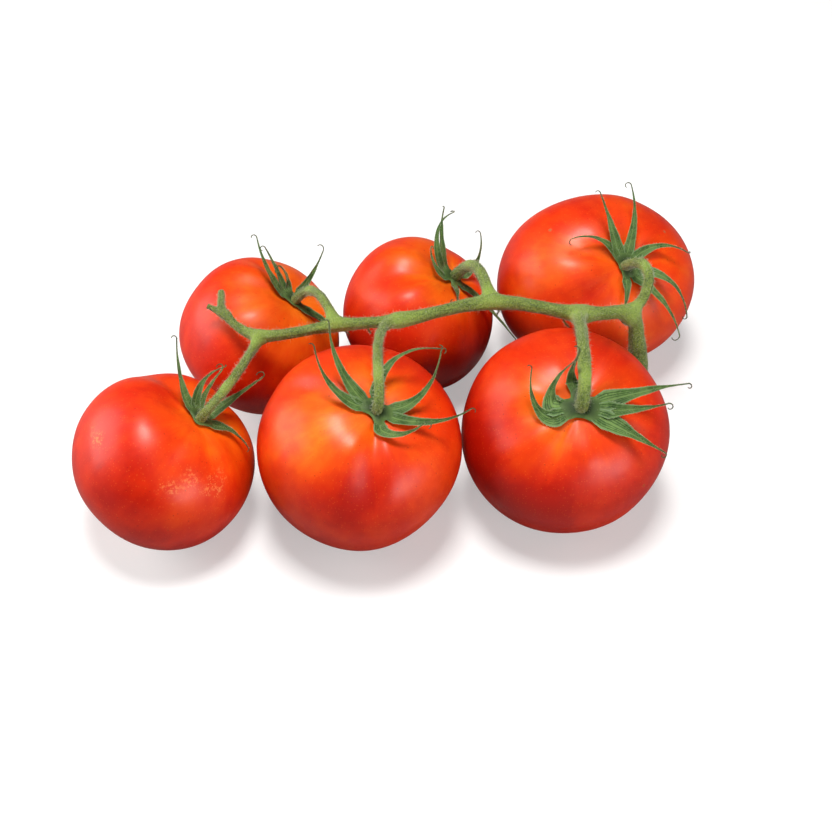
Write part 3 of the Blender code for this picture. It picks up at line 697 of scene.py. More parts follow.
def sepal_course(tomato, sepal, draw):
    """Middle line of a sepal in the tomato's frame, with its widths and its side directions.

    Inside the calyx's rim it runs straight out. Beyond it, it turns by `swing`, climbs to `rise`
    and is bowed between, and its thread-like tip winds on a small circle that tightens. The size of
    the circle and how far the tip winds are drawn for each sepal.
    """
    level = calyx_level(tomato)
    rim = tomato.calyx_radius
    inner = np.linspace(HUB_START, 1.0, HUB_ROWS, endpoint=False)
    t = np.linspace(0.0, 1.0, SEPAL_ROWS + 1)
    turn = np.radians(sepal.bearing + sepal.swing * t**1.4)
    out = rim + (sepal.reach - rim) * t
    height = level + sepal.rise * t**1.3 + sepal.bow * 4 * t * (1 - t)
    outer = np.stack([out * np.cos(turn), out * np.sin(turn), height], axis=-1)
    start = math.radians(sepal.bearing)
    flat = np.stack([inner * rim * math.cos(start), inner * rim * math.sin(start)], axis=-1)
    hub = np.column_stack([flat, np.full(HUB_ROWS, level)])
    points = off_skin(tomato, np.vstack([hub, outer]), SKIN_GAP * 0.7 + SEPAL_BODY / 2)
    taper = (1.0 - t) ** 1.9 * (1.0 + 0.70 * t)
    outer_widths = TIP_WIDTH + (sepal.width - TIP_WIDTH) * taper
    widths = np.concatenate([sepal.width * inner**0.8, outer_widths])
    along = unit(points[-1] - points[-3])
    side = unit(np.cross((0.0, 0.0, 1.0), along))
    backwards = 20.0 < sepal.bearing % 360.0 < 200.0
    heading = math.radians(TIP_HEADING if backwards else -TIP_HEADING)
    over = math.cos(heading) * np.cross(side, along) + math.sin(heading) * side
    share = np.linspace(0.0, 1.0, CURL_ROWS + 1)[1:]
    wound = np.radians(TIP_TURN * draw.uniform(0.45, 1.5))
    turns = wound * share
    step = CURL_RADIUS * draw.uniform(0.6, 1.3) * wound / CURL_ROWS * (1.0 - 0.55 * share)
    ways = along * np.cos(turns)[:, None] + over * np.sin(turns)[:, None]
    curl = points[-1] + np.cumsum(ways * step[:, None], axis=0)
    points = np.vstack([points, off_skin(tomato, curl, SKIN_GAP * 0.5)])
    widths = np.concatenate([widths, TIP_WIDTH * (1.0 - 0.35 * share)])
    ways = unit(np.gradient(points, axis=0))
    sides = np.cross(points, ways)
    flat_rows = HUB_ROWS + SEPAL_ROWS
    sides[flat_rows:] = sides[flat_rows - 1]
    sides = unit(sides - (sides * ways).sum(axis=-1, keepdims=True) * ways)
    return points, widths, ways, sides


def add_sepal(shape, tomato, place, sepal, draw):
    """A lens-shaped section carried along the sepal's middle line. Its edges stand up from the
    midrib in a channel that closes towards the tip, with a slow ruffle and a slight roll. Returns
    what hairs grow from: the two edges, the middle line, and the directions sideways and up."""
    points, widths, ways, sides = sepal_course(tomato, sepal, draw)
    run = run_along(points)
    share = (run / run[-1])[:, None]
    roll = np.radians(draw.uniform(-22.0, 22.0)) * smooth(share, 0.35, 1.0)
    ups = np.cross(ways, sides)
    level_sides = sides
    sides = np.cos(roll) * level_sides + np.sin(roll) * ups
    ups = np.cos(roll) * ups - np.sin(roll) * level_sides
    angle = np.arange(SEPAL_SIDES)[None, :] * math.tau / SEPAL_SIDES
    across = np.cos(angle)
    half = widths[:, None] / 2
    wave = 1.0 + 0.05 * np.sin(share * draw.uniform(14.0, 22.0) + draw.uniform(0.0, math.tau))
    fold = draw.uniform(0.22, 0.42) + draw.uniform(0.35, 0.55) * smooth(share, 0.20, 0.85)
    fold = fold * smooth(share, 0.04, 0.22)
    ruffle = share * draw.uniform(20.0, 30.0) + np.sign(across) * draw.uniform(0.6, 2.4)
    ruffle = 0.16 * np.sin(ruffle) * smooth(share, 0.2, 0.6)
    body = SEPAL_BODY / 2 * (1.0 - 0.72 * across**2) * (1.0 - 0.55 * smooth(share, 0.55, 1.0))
    rib = SEPAL_RIB * bump(across, 0.0, 0.22) * (1.0 - share) * np.sign(np.sin(angle) - 0.01)
    level = half * (fold * np.abs(across) ** 1.5 + ruffle * across**2)
    level = level + body * np.sin(angle) + np.minimum(rib, 0.0)
    narrowed = half * wave * across * np.sqrt(1.0 - 0.55 * np.clip(fold, 0.0, 0.95) ** 2)
    grid = points[:, None] + sides[:, None] * narrowed[..., None] + ups[:, None] * level[..., None]
    grid = off_skin(tomato, grid, SKIN_GAP * 0.35)
    dry = smooth(share, draw.uniform(0.66, 0.82), 1.0)
    shape.add(place.out(grid), along=share, across=across, dry=dry)
    edges = place.out(grid[:, [0, SEPAL_SIDES // 2]])
    both_sides = np.stack([sides, -sides], axis=1) @ place.turn.T
    return edges, place.out(points), both_sides, ups @ place.turn.T


def add_collar(shape, tomato, place):
    """The middle of a calyx: a low domed plate whose rim reaches out under each sepal and draws
    back between them, closed underneath."""
    level = calyx_level(tomato)
    bearing = np.arange(COLLAR_SIDES) * 360.0 / COLLAR_SIDES
    reach = np.zeros(COLLAR_SIDES)
    for sepal in tomato.sepals:
        half = math.degrees(math.asin(min(sepal.width / 2 / tomato.calyx_radius, 1.0)))
        reach = reach + bump(around(bearing, sepal.bearing), 0.0, half * 1.15)
    rim = tomato.calyx_radius * (0.42 + 0.50 * np.minimum(reach, 1.0))
    top = np.linspace(0.15, 1.0, COLLAR_TOP_ROWS)
    share = np.concatenate([top, np.linspace(0.96, 0.15, COLLAR_UNDER_ROWS)])[:, None]
    upper = np.arange(len(share))[:, None] < COLLAR_TOP_ROWS
    height = level + np.where(upper, 0.00012 + COLLAR_DOME * (1.0 - share**2), -0.00022)
    out = rim[None, :] * share
    turn = np.radians(bearing)
    height = np.broadcast_to(height, out.shape)
    grid = np.stack([out * np.cos(turn), out * np.sin(turn), height], axis=-1)
    grid = off_skin(tomato, grid, np.where(upper, SKIN_GAP, SKIN_GAP * 0.5))
    shape.add(place.out(grid), along=share * COLLAR_ALONG, across=0.0, dry=0.0)


def make_calyx(tomato, place, finish):
    """Sepals around a collar, and the edges from which its hairs grow."""
    draw = np.random.default_rng(CALYX_SEED + tomato.number)
    shape = Shape()
    add_collar(shape, tomato, place)
    edges = [add_sepal(shape, tomato, place, sepal, draw) for sepal in tomato.sepals]
    piece = shape.finished(f"sepals_{tomato.number}", finish)
    finish_piece(piece, "calyx_green", f"calyx_{tomato.number}")
    return edges


# ---------------------------------------------------------------- stalks and truss stem
def stem_nodes(places):
    """The point of the truss stem's middle line from which each tomato's stalk leaves."""
    truss_line = places[1].middle[1] - TRUSS_LINE_OFFSET
    nodes = {}
    for tomato in TOMATOES:
        place = places[tomato.number]
        x = place.middle[0] + tomato.node_shift
        y = truss_line + tomato.node_offset
        nodes[tomato.number] = np.array((x, y, place.top + tomato.node_rise))
    return nodes


def stalk_line(tomato, place, node):
    """Middle line of a stalk, from inside the calyx to inside the truss stem."""
    upright = place.turn @ np.array((0.0, 0.0, 1.0))
    seat = calyx_level(tomato) + CALYX_THICKNESS / 2 + TOUCH_GAP
    foot = place.middle + upright * seat
    knee = foot + upright * tomato.knee
    way = knee - node
    turn = math.atan2(way[1], way[0]) + math.radians(tomato.shoulder)
    way = unit(np.array((math.cos(turn), math.sin(turn), tomato.arch)))
    start = node + way * (NODE_RADIUS + BOSS_LENGTH + TOUCH_GAP)
    reach = np.linalg.norm(knee - start)
    rising = foot + upright * tomato.knee * 1.4
    leaving = start + way * reach * tomato.hold
    bow = bezier(foot, rising, leaving, start, STALK_ROWS)
    inside = node + way * NODE_RADIUS * 0.55
    return np.vstack([foot - upright * 0.0010, bow, (start + inside) / 2, inside])


def stalk_radii(tomato, path):
    """Thickness along a stalk: a flared foot, the knuckle with its thin waist line, a wider end."""
    run = run_along(path)
    t = run / run[-1]
    radius = tomato.stalk + FOOT_FLARE * bump(t, 0.0, 0.10)
    radius = radius + KNUCKLE_SWELL * bump(t, KNUCKLE_PLACE, 0.07)
    radius = radius - WAIST_DEPTH * bump(t, KNUCKLE_PLACE, 0.012)
    return radius + END_FLARE * bump(t, 1.0, 0.12)


def stem_line(nodes):
    """Middle line and radii of the truss stem from its cut base, by the fork, to its cut tip. It
    thickens at each node, at two knobs and at the base, and thins slowly towards the tip."""
    fork = nodes[len(TOMATOES)] + FORK_POINT
    corners = [nodes[1] + BASE_POINT, nodes[1] + BASE_BEND, *nodes.values()]
    path = through([*corners, fork, fork + TWIG_ENDS[0]], STEM_STEPS)
    place = np.arange(len(path)) / STEM_STEPS
    node_places = FIRST_NODE_CORNER + np.arange(len(TOMATOES))
    nearest = np.abs(place[:, None] - node_places[None, :]).min(axis=1)
    radius = STEM_RADIUS + (NODE_RADIUS - STEM_RADIUS) * bump(nearest, 0.0, NODE_SPREAD)
    radius = radius + (BASE_RADIUS - STEM_RADIUS) * smooth(FIRST_NODE_CORNER - place, 0.0, 2.0)
    radius = radius + KNOB_SWELL * sum(bump(place, knob, 0.10) for knob in KNOB_PLACES)
    radius = radius * (1.12 - 0.0575 * place)
    return path, radius - (STEM_RADIUS - TWIG_RADIUS) * 0.4 * smooth(place, 7.1, 7.9)


def spur_lines(stem_path):
    """Middle lines and radii of the short dry spurs under the truss stem, each a hook that bends
    from straight down towards one side."""
    lines = []
    for place, length, lean in SPURS:
        start = stem_path[int(place * STEM_STEPS)]
        t = np.linspace(0.0, 1.0, SPUR_ROWS)
        down = np.stack([lean * t**2, -0.35 * t, -t + 0.25 * t**3], axis=-1)
        lines.append((start + down * length, SPUR_RADIUS * (1.0 - 0.45 * t)))
    return lines


def twig_line(stem_path):
    """Middle line and radii of the thin cut twig that leaves the truss stem at its fork."""
    fork = stem_path[-STEM_STEPS - 1]
    end = fork + TWIG_ENDS[1]
    before = stem_path[-STEM_STEPS - STEM_STEPS // 6]
    path = through([before, (fork + end) / 2, end], TWIG_STEPS)
    t = np.linspace(0.0, 1.0, len(path))
    return path, TWIG_RADIUS * (0.80 - 0.22 * smooth(t, 0.1, 0.9) + 0.10 * smooth(t, 0.92, 1.0))


def depth_in(points, tubes):
    """Soft minimum of the points' distances to several tubes, negative inside. A tube is a row of
    balls along its middle line."""
    total = 0.0
    for path, radii in tubes:
        apart = np.linalg.norm(points[:, None, :] - path[None, :, :], axis=-1) - radii[None, :]
        total = total + np.exp(-apart.min(axis=1) / BLEND)
    return -BLEND * np.log(total)


def blended(points, normals, tubes):
    """Points of one tube's side moved outwards until the soft minimum is zero, so that tubes which
    meet share one rounded fillet. Points deep inside another tube stay where they are."""
    flat = points.reshape(-1, 3)
    ways = normals.reshape(-1, 3)
    start = depth_in(flat, tubes)
    lift = np.zeros(len(flat))
    moving = start < -1e-5
    for _ in range(BLEND_ROUNDS):
        depth = depth_in(flat[moving] + ways[moving] * lift[moving, None], tubes)
        lift[moving] = np.clip(lift[moving] - depth, 0.0, MOST_BLEND)
    lift = lift * smooth(start, -0.0020, -0.0012)
    return (flat + ways * lift[:, None]).reshape(points.shape)


def cap_rings(middle, edge, way):
    """Rings that close a cut end: a rounded rim, then a slightly sunk face."""
    rings = []
    for share in CAP_SHARES:
        stand = CAP_BULGE * (1.0 if share > CAP_RIM else 0.4)
        rings.append(middle + (edge - middle) * share + way * stand)
    return rings


def add_tube(shape, line, tubes, seed, ridges, sides, glow=0.0):
    """A ring carried along a line, blended into the tubes that it meets, with low ridges that wind
    slowly round it. `ridges` counts the waves round it, and `glow` tints its nodes. Returns what
    hairs grow from: the points and their normals."""
    path, radii = line
    along, across, other = carried_frames(path)
    angle = np.arange(sides)[None, :] * math.tau / sides
    normals = across[:, None] * np.cos(angle)[..., None] + other[:, None] * np.sin(angle)[..., None]
    points = blended(path[:, None] + normals * radii[:, None, None], normals, tubes)
    run = run_along(path)[:, None]
    draw = np.random.default_rng(seed)
    relief = np.zeros(points.shape[:2])
    for waves in ridges:
        turn = angle * waves + run * draw.uniform(-60.0, 60.0) + draw.uniform(0.0, math.tau)
        relief = relief + np.cos(turn + 0.8 * np.sin(run * draw.uniform(150.0, 320.0)))
    for _ in range(5):
        turn = angle * draw.integers(1, 4) + run * draw.uniform(200.0, 900.0)
        relief = relief + 0.6 * np.cos(turn + draw.uniform(0.0, math.tau))
    points = points + normals * (relief * RIDGE_HEIGHT)[..., None]
    start = cap_rings(path[0], points[0], -along[0])
    end = cap_rings(path[-1], points[-1], along[-1])
    grid = np.concatenate([start[::-1], points, end])
    rows, caps = len(path), len(CAP_SHARES)
    order = np.concatenate([np.zeros(caps, int), np.arange(rows), np.full(caps, rows - 1)])
    cut = np.concatenate([np.ones(caps), np.zeros(rows), np.ones(caps)])[:, None]
    grain = np.broadcast_arrays(run[order] * 100.0, np.cos(angle), np.sin(angle))
    knuckle = np.broadcast_to(glow, rows)[order][:, None]
    shape.add(grid, grain=np.stack(grain, axis=-1), cut=cut, knuckle=knuckle)
    return points, normals


def make_truss(places, finish):
    """The truss stem with its cut twig and dry spurs, and one stalk for each tomato."""
    nodes = stem_nodes(places)
    stem = stem_line(nodes)
    twig = twig_line(stem[0])
    stalks = {}
    for tomato in TOMATOES:
        path = stalk_line(tomato, places[tomato.number], nodes[tomato.number])
        stalks[tomato.number] = (path, stalk_radii(tomato, path))
    tubes = [stem, twig, *stalks.values()]
    glow = nodal_glow(stem[0], nodes.values())
    shape = Shape()
    sides = [
        add_tube(shape, stem, tubes, STEM_SEED, (5, 8), STEM_SIDES, glow),
        add_tube(shape, twig, tubes, TWIG_SEED, (5,), TWIG_SIDES),
    ]
    for index, spur in enumerate(spur_lines(stem[0])):
        sides.append(add_tube(shape, spur, [spur], SPUR_SEED + index, (), SPUR_SIDES))
    finish_piece(shape.finished("stem", finish), "stem_green", "truss_stem")
    for number, stalk in stalks.items():
        t = np.linspace(0.0, 1.0, len(stalk[0]))
        glow = np.maximum(bump(t, KNUCKLE_PLACE, 0.09), smooth(t, 0.86, 1.0))
        shape = Shape()
        sides.append(add_tube(shape, stalk, tubes, STALK_SEED + number, (5, 7), STALK_SIDES, glow))
        finish_piece(shape.finished(f"stalklet_{number}", finish), "stem_green", f"stalk_{number}")
    return sides


def nodal_glow(path, nodes):
    """Strongest at the truss stem's nodes, fading over about one stem's width."""
    apart = np.min([np.linalg.norm(path - node, axis=1) for node in nodes], axis=0)
    return bump(apart, 0.0, NODE_GLOW_SPREAD) * NODE_GLOW


# ---------------------------------------------------------------- hairs
def hair_bodies(roots, ways, lengths, radius, draw):
    """Thin three-sided spikes, each a root triangle, a bent middle triangle and a tip."""
    count = len(roots)
    lean = unit(ways + draw.normal(size=(count, 3)) * 0.35)
    side = unit(np.cross(lean, draw.normal(size=(count, 3))))
    other = np.cross(lean, side)
    angle = np.arange(3) * math.tau / 3
    cosine, sine = np.cos(angle)[None, :, None], np.sin(angle)[None, :, None]
    ring = side[:, None] * cosine + other[:, None] * sine
    bend = unit(lean + draw.normal(size=(count, 3)) * 0.3)
    middle = roots + lean * lengths[:, None] * 0.5
    tip = middle + bend * lengths[:, None] * 0.5
    base = (roots - lean * HAIR_ROOT)[:, None] + ring * radius
    waist = middle[:, None] + ring * radius * 0.6
    vertices = np.concatenate([base, waist, tip[:, None]], axis=1)
    first = np.arange(count)[:, None, None] * 7
    quads = np.array([(0, 1, 4, 3), (1, 2, 5, 4), (2, 0, 3, 5)])[None] + first
    triangles = np.array([(2, 1, 0), (3, 4, 6), (4, 5, 6), (5, 3, 6)])[None] + first
    tipness = np.tile([0.0, 0.0, 0.0, 0.5, 0.5, 0.5, 1.0], count)
    return vertices.reshape(-1, 3), quads.reshape(-1, 4), triangles.reshape(-1, 3), tipness


def make_stem_hairs(sides, finish):
    """Hairs that stand out all over the truss stem and its stalks."""
    draw = np.random.default_rng(STEM_HAIR_SEED)
    roots, ways = [], []
    for points, normals in sides:
        size = np.linalg.norm(np.diff(points[:, 0], axis=0), axis=1).sum()
        count = int(size * STEM_HAIRS_PER_METRE)
        row = draw.integers(2, len(points) - 2, count)
        side = draw.integers(0, points.shape[1], count)
        near = points[row + 1, side] - points[row, side]
        roots.append(points[row, side] + near * draw.random(count)[:, None])
        ways.append(normals[row, side])
    roots, ways = np.vstack(roots), np.vstack(ways)
    lengths = draw.uniform(0.0004, 0.0012, len(roots))
    lengths = lengths * (1.0 + 0.7 * (draw.random(len(roots)) > 0.88))
    *body, tipness = hair_bodies(roots, ways, lengths, HAIR_RADIUS, draw)
    piece = mesh_piece("stem_hairs", *body, {"tipness": tipness}, finish)
    finish_piece(piece, "stem_green")


def make_sepal_hairs(edges, finish):
    """Shorter hairs along the sepals' edges and over their faces."""
    draw = np.random.default_rng(SEPAL_HAIR_SEED)
    roots, ways = [], []
    for rims, middles, sides, ups in edges:
        rows = len(rims) - CURL_ROWS
        count = SEPAL_EDGE_HAIRS
        row = draw.integers(HUB_ROWS, rows, count)
        side = draw.integers(0, 2, count)
        near = rims[row + 1, side] - rims[row, side]
        roots.append(rims[row, side] + near * draw.random(count)[:, None])
        ways.append(sides[row, side] + ups[row] * 0.5)
        row = draw.integers(3, rows, count // 2)
        share = draw.uniform(-0.7, 0.7, count // 2)[:, None]
        nearer = rims[row, (share[:, 0] < 0).astype(int)]
        between = middles[row] * (1 - np.abs(share)) + nearer * np.abs(share)
        roots.append(between + ups[row] * SEPAL_BODY * 0.35)
        ways.append(ups[row])
    roots, ways = np.vstack(roots), unit(np.vstack(ways))
    lengths = draw.uniform(0.00018, 0.0005, len(roots))
    *body, tipness = hair_bodies(roots, ways, lengths, HAIR_RADIUS * 0.85, draw)
    piece = mesh_piece("sepal_hairs", *body, {"tipness": tipness}, finish)
    finish_piece(piece, "calyx_green")


# ---------------------------------------------------------------- material helpers
class Nodes:
    """Adds nodes to one tree. A value is a number, a colour, a vector or another node's output."""

    def __init__(self, tree):
        self.tree = tree

    def put(self, socket, value):
        """Links an output to a socket, or sets the socket to a constant."""
        if isinstance(value, bpy.types.NodeSocket):
            self.tree.links.new(value, socket)
        else:
            socket.default_value = value

    def add(self, kind, inputs=None, **settings):
        """A new node of a kind, with its inputs put and its settings made."""
        node = self.tree.nodes.new(kind)
        for key, value in settings.items():
            setattr(node, key, value)
        for key, value in (inputs or {}).items():
            self.put(node.inputs[key], value)
        return node

    def place(self):
        """Object coordinates, which are metres in the part's own frame."""
        return self.add("ShaderNodeTexCoord").outputs["Object"]

    def value(self, name):
        """A number that the mesh carries at each vertex."""
        return self.add("ShaderNodeAttribute", attribute_name=name).outputs["Fac"]

    def vector(self, name):
        """A vector that the mesh carries at each vertex."""
        return self.add("ShaderNodeAttribute", attribute_name=name).outputs["Vector"]

    def noise(self, vector, scale, detail=2.0, roughness=0.5):
        inputs = {"Vector": vector, "Scale": scale, "Detail": detail, "Roughness": roughness}
        return self.add("ShaderNodeTexNoise", inputs).outputs["Fac"]

    def cells(self, vector, scale):
        return self.add("ShaderNodeTexVoronoi", {"Vector": vector, "Scale": scale}).outputs

    def math(self, operation, first, second=0.0, clamp=False):
        inputs = {0: first, 1: second}
        return self.add("ShaderNodeMath", inputs, operation=operation, use_clamp=clamp).outputs[0]

    def times(self, first, second):
        return self.math("MULTIPLY", first, second)

    def plus(self, first, second):
        return self.math("ADD", first, second)

    def most(self, first, second):
        return self.math("MAXIMUM", first, second)

    def fit(self, value, low, high, to_low=0.0, to_high=1.0):
        """The value carried from one range to another along an S-shaped curve."""
        inputs = {"Value": value, "From Min": low, "From Max": high}
        inputs.update({"To Min": to_low, "To Max": to_high})
        return self.add("ShaderNodeMapRange", inputs, interpolation_type="SMOOTHSTEP").outputs[0]

    def mix(self, share, first, second):
        """Two colours mixed. A colour node's own sockets are numbers 6 and 7, and its output is 2."""
        return self.add("ShaderNodeMix", {0: share, 6: first, 7: second}, data_type="RGBA").outputs[2]

    def tint(self, base, mask, strength, shade):
        """The base with a shade laid over it where the mask is, as strong as told."""
        return self.mix(self.times(mask, strength), base, shade)

    def ramp(self, value, stops):
        """A colour for each value, from stops of (value, colour)."""
        node = self.add("ShaderNodeValToRGB", {"Fac": value})
        marks = node.color_ramp.elements
        while len(marks) < len(stops):
            marks.new(1.0)
        for mark, (position, colour) in zip(marks, stops):
            mark.position = position
            mark.color = (*colour, 1.0)
        return node.outputs["Color"]

    def mask(self, tree, **inputs):
        """The mask of a node group, whose inputs are named here in lower case."""
        group = self.add("ShaderNodeGroup", node_tree=tree)
        for key, value in inputs.items():
            self.put(group.inputs[key.title()], value)
        return group.outputs["Mask"]

    def relief(self, shader, height, strength, distance):
        """Bumps of the given height into a shader's Normal."""
        inputs = {"Height": height, "Strength": strength, "Distance": distance}
        self.put(shader["Normal"], self.add("ShaderNodeBump", inputs).outputs["Normal"])


def colour(red, green, blue):
    return (red, green, blue, 1.0)


def set_plain(shader, values):
    """Sets a shader's own sockets to constants."""
    for name, value in values.items():
        shader[name].default_value = value


def mask_group(name, inputs):
    """An empty node group from a vector and some numbers to a mask, with its given and its made."""
    tree = bpy.data.node_groups.new(name, "ShaderNodeTree")
    for socket in inputs:
        kind = "NodeSocketVector" if socket == "Vector" else "NodeSocketFloat"
        tree.interface.new_socket(name=socket, in_out="INPUT", socket_type=kind)
    tree.interface.new_socket(name="Mask", in_out="OUTPUT", socket_type="NodeSocketFloat")
    nodes = Nodes(tree)
    given = nodes.add("NodeGroupInput").outputs
    return tree, nodes, given, nodes.add("NodeGroupOutput").inputs["Mask"]


def speckle_group():
    """Small round dots: only some cells of a pattern hold one, and their sizes differ."""
    tree, nodes, given, mask = mask_group("speckles", ("Vector", "Scale", "Share", "Size"))
    cells = nodes.cells(given["Vector"], given["Scale"])
    split = nodes.add("ShaderNodeSeparateColor", {0: cells["Color"]}).outputs
    size = nodes.times(given["Size"], nodes.fit(split[1], 0.0, 1.0, 0.35, 1.0))
    inside = nodes.math("SUBTRACT", 1.0, nodes.math("DIVIDE", cells["Distance"], size), clamp=True)
    kept = nodes.math("LESS_THAN", split[0], given["Share"])
    nodes.put(mask, nodes.times(nodes.fit(inside, 0.0, 0.6), kept))
    return tree


def mottle_group():
    """Cloudy patches between two levels of a noise."""
    tree, nodes, given, mask = mask_group("mottle", ("Vector", "Scale", "Low", "High"))
    noise = nodes.noise(given["Vector"], given["Scale"], 4.0, 0.55)
    nodes.put(mask, nodes.fit(noise, given["Low"], given["High"]))
    return tree


def new_material(name):
    """A material with its node helper and the inputs of its shader."""
    made = bpy.data.materials.new(name)
    made.use_nodes = True
    nodes = Nodes(made.node_tree)
    return made, nodes, made.node_tree.nodes["Principled BSDF"].inputs


def healed_scars(nodes, place, fine, scars):
    """A mask of small round spots with ragged rims, one for each (middle, size)."""
    healed = 0.0
    for middle, size in scars:
        gap = nodes.add("ShaderNodeVectorMath", {0: place, 1: middle}, operation="DISTANCE")
        ragged = nodes.fit(fine, 0.3, 0.7, -size * 0.5, size * 0.5)
        apart = nodes.plus(gap.outputs["Value"], ragged)
        healed = nodes.most(healed, nodes.fit(apart, size * 0.55, size, 1.0, 0.0))
    return healed


def skin_material(speckles, mottle, scars):
    """Ripe tomato skin: deep red low down, orange round the stem end, cloudy in between, with pale
    and dark pores, fine golden russeting in patches, a few healed scars and a waxy gloss."""
    made, nodes, shader = new_material("tomato_skin")
    place = nodes.place()
    broad = nodes.noise(place, 38.0, 3.0, 0.5)
    fine = nodes.noise(place, 170.0, 4.0, 0.6)
    streaks = nodes.noise(nodes.vector("streak"), 7.5, 3.0, 0.6)
    # The warmth carries the painted shade of the cooler patches in the creases, as well as the skin's
    # own tones.
    tone = nodes.plus(nodes.value("warmth"), nodes.fit(broad, 0.25, 0.75, -0.17, 0.19))
    tone = nodes.plus(tone, nodes.fit(fine, 0.25, 0.75, -0.05, 0.05))
    tone = nodes.plus(tone, nodes.fit(streaks, 0.30, 0.70, -0.045, 0.045))
    base = nodes.ramp(tone, SKIN_TONES)
    blush = nodes.mask(mottle, vector=place, scale=90.0, low=0.48, high=0.72)
    base = nodes.tint(base, blush, 0.28, colour(0.52, 0.0080, 0.0012))
    pale = nodes.mask(speckles, vector=place, scale=1250.0, share=0.60, size=0.40)
    base = nodes.tint(base, pale, 0.24, colour(0.93, 0.20, 0.03))
    dark = nodes.mask(speckles, vector=place, scale=640.0, share=0.42, size=0.24)
    base = nodes.tint(base, dark, 0.48, colour(0.34, 0.006, 0.004))
    flecks = nodes.mask(speckles, vector=place, scale=1500.0, share=0.62, size=0.55)
    crackle = nodes.fit(nodes.noise(place, 620.0, 5.0, 0.65), 0.50, 0.64)
    patch = nodes.plus(nodes.value("russet"), nodes.fit(fine, 0.3, 0.7, -0.35, 0.35))
    patch = nodes.fit(patch, 0.35, 0.9)
    russet = nodes.times(nodes.times(patch, nodes.most(flecks, crackle)), 0.50)
    base = nodes.mix(russet, base, colour(0.93, 0.30, 0.08))
    healed = healed_scars(nodes, place, fine, scars)
    base = nodes.tint(base, healed, 0.7, colour(0.42, 0.13, 0.04))
    nodes.put(shader["Base Color"], base)
    smear = nodes.fit(nodes.noise(place, 60.0, 3.0, 0.6), 0.3, 0.7, 0.36, 0.46)
    rough = nodes.plus(smear, nodes.times(russet, 0.22))
    nodes.put(shader["Roughness"], nodes.plus(rough, nodes.times(healed, 0.3)))
    wax = nodes.fit(nodes.noise(place, 240.0, 2.0), 0.35, 0.65, 0.04, 0.12)
    nodes.put(shader["Coat Weight"], wax)
    set_plain(shader, {
        "Coat Roughness": 0.22,
        "IOR": 1.36,
        "Subsurface Weight": 0.12,
        "Subsurface Radius": (0.0045, 0.0011, 0.0005),
        "Subsurface Scale": 0.6,
    })
    grain = nodes.times(nodes.noise(place, 900.0, 3.0, 0.6), 0.5)
    grain = nodes.plus(grain, nodes.times(nodes.noise(place, 2600.0, 2.0), 0.3))
    for mask, height in ((pale, -0.25), (russet, 0.8), (healed, -0.9)):
        grain = nodes.plus(grain, nodes.times(mask, height))
    nodes.relief(shader, grain, 0.35, 0.00010)
    return made


def leaf_material(speckles, mottle):
    """Green sepals: a pale midrib and slanting side veins, long furrows darkened with painted shade,
    paler edges that are a painted highlight, dark flecks, painted shade in the middle of the
    calyx round the stalk's foot, and dry grey-brown tips."""
    made, nodes, shader = new_material("calyx_green")
    place = nodes.place()
    along = nodes.value("along")
    across = nodes.math("ABSOLUTE", nodes.value("across"))
    cloud = nodes.mask(mottle, vector=place, scale=260.0, low=0.32, high=0.68)
    base = nodes.mix(cloud, colour(0.040, 0.100, 0.018), colour(0.140, 0.250, 0.060))
    slant = nodes.math("SUBTRACT", nodes.times(along, 34.0), nodes.times(across, 1.6))
    waves = nodes.math("SINE", nodes.times(slant, math.pi))
    side_veins = nodes.times(nodes.fit(waves, 0.72, 1.0), nodes.fit(across, 0.1, 0.3))
    lines = nodes.math("SINE", nodes.times(across, 26.0))
    long_veins = nodes.fit(lines, 0.5, 1.0)
    veins = nodes.most(nodes.times(side_veins, 0.6), nodes.times(long_veins, 0.5))
    base = nodes.tint(base, veins, 0.45, colour(0.28, 0.42, 0.12))
    # Painted shade: dark lines between the long veins, where the sunk furrows would lie in shade.
    groove_shade = nodes.times(nodes.fit(lines, -0.2, -0.95), nodes.fit(across, 0.05, 0.25))
    base = nodes.tint(base, groove_shade, 0.75, colour(0.014, 0.042, 0.012))
    midrib = nodes.fit(across, 0.04, 0.20, 1.0, 0.0)
    base = nodes.tint(base, midrib, 0.35, colour(0.26, 0.40, 0.11))
    # Painted highlight: the raised rims of each sepal are made paler, as where they catch the light.
    edge = nodes.fit(across, 0.72, 1.0)
    base = nodes.tint(base, edge, 0.75, colour(0.250, 0.380, 0.170))
    flecks = nodes.mask(speckles, vector=place, scale=900.0, share=0.35, size=0.42)
    base = nodes.tint(base, flecks, 0.6, colour(0.030, 0.055, 0.014))
    # Painted shade: the middle of the calyx and its collar, round the stalk's foot, are darkened as a
    # shaded crevice.
    hub = nodes.fit(along, 0.03, 0.17, 0.94, 0.0)
    base = nodes.mix(hub, base, colour(0.014, 0.030, 0.006))
    parched = nodes.fit(nodes.noise(place, 700.0, 3.0), 0.2, 0.7, 0.6, 1.0)
    base = nodes.tint(base, nodes.value("dry"), parched, colour(0.085, 0.085, 0.045))
    nodes.put(shader["Base Color"], base)
    rough = nodes.fit(nodes.noise(place, 500.0, 3.0), 0.3, 0.7, 0.44, 0.62)
    nodes.put(shader["Roughness"], rough)
    set_plain(shader, {
        "Subsurface Weight": 0.08,
        "Subsurface Radius": (0.0006, 0.0012, 0.0003),
        "Subsurface Scale": 0.5,
        "Specular IOR Level": 0.25,
        "Sheen Weight": 0.05,
        "Sheen Roughness": 0.45,
    })
    height = nodes.plus(nodes.times(veins, 0.7), nodes.noise(place, 1500.0, 3.0, 0.6))
    nodes.relief(shader, height, 0.8, 0.00026)
    return made


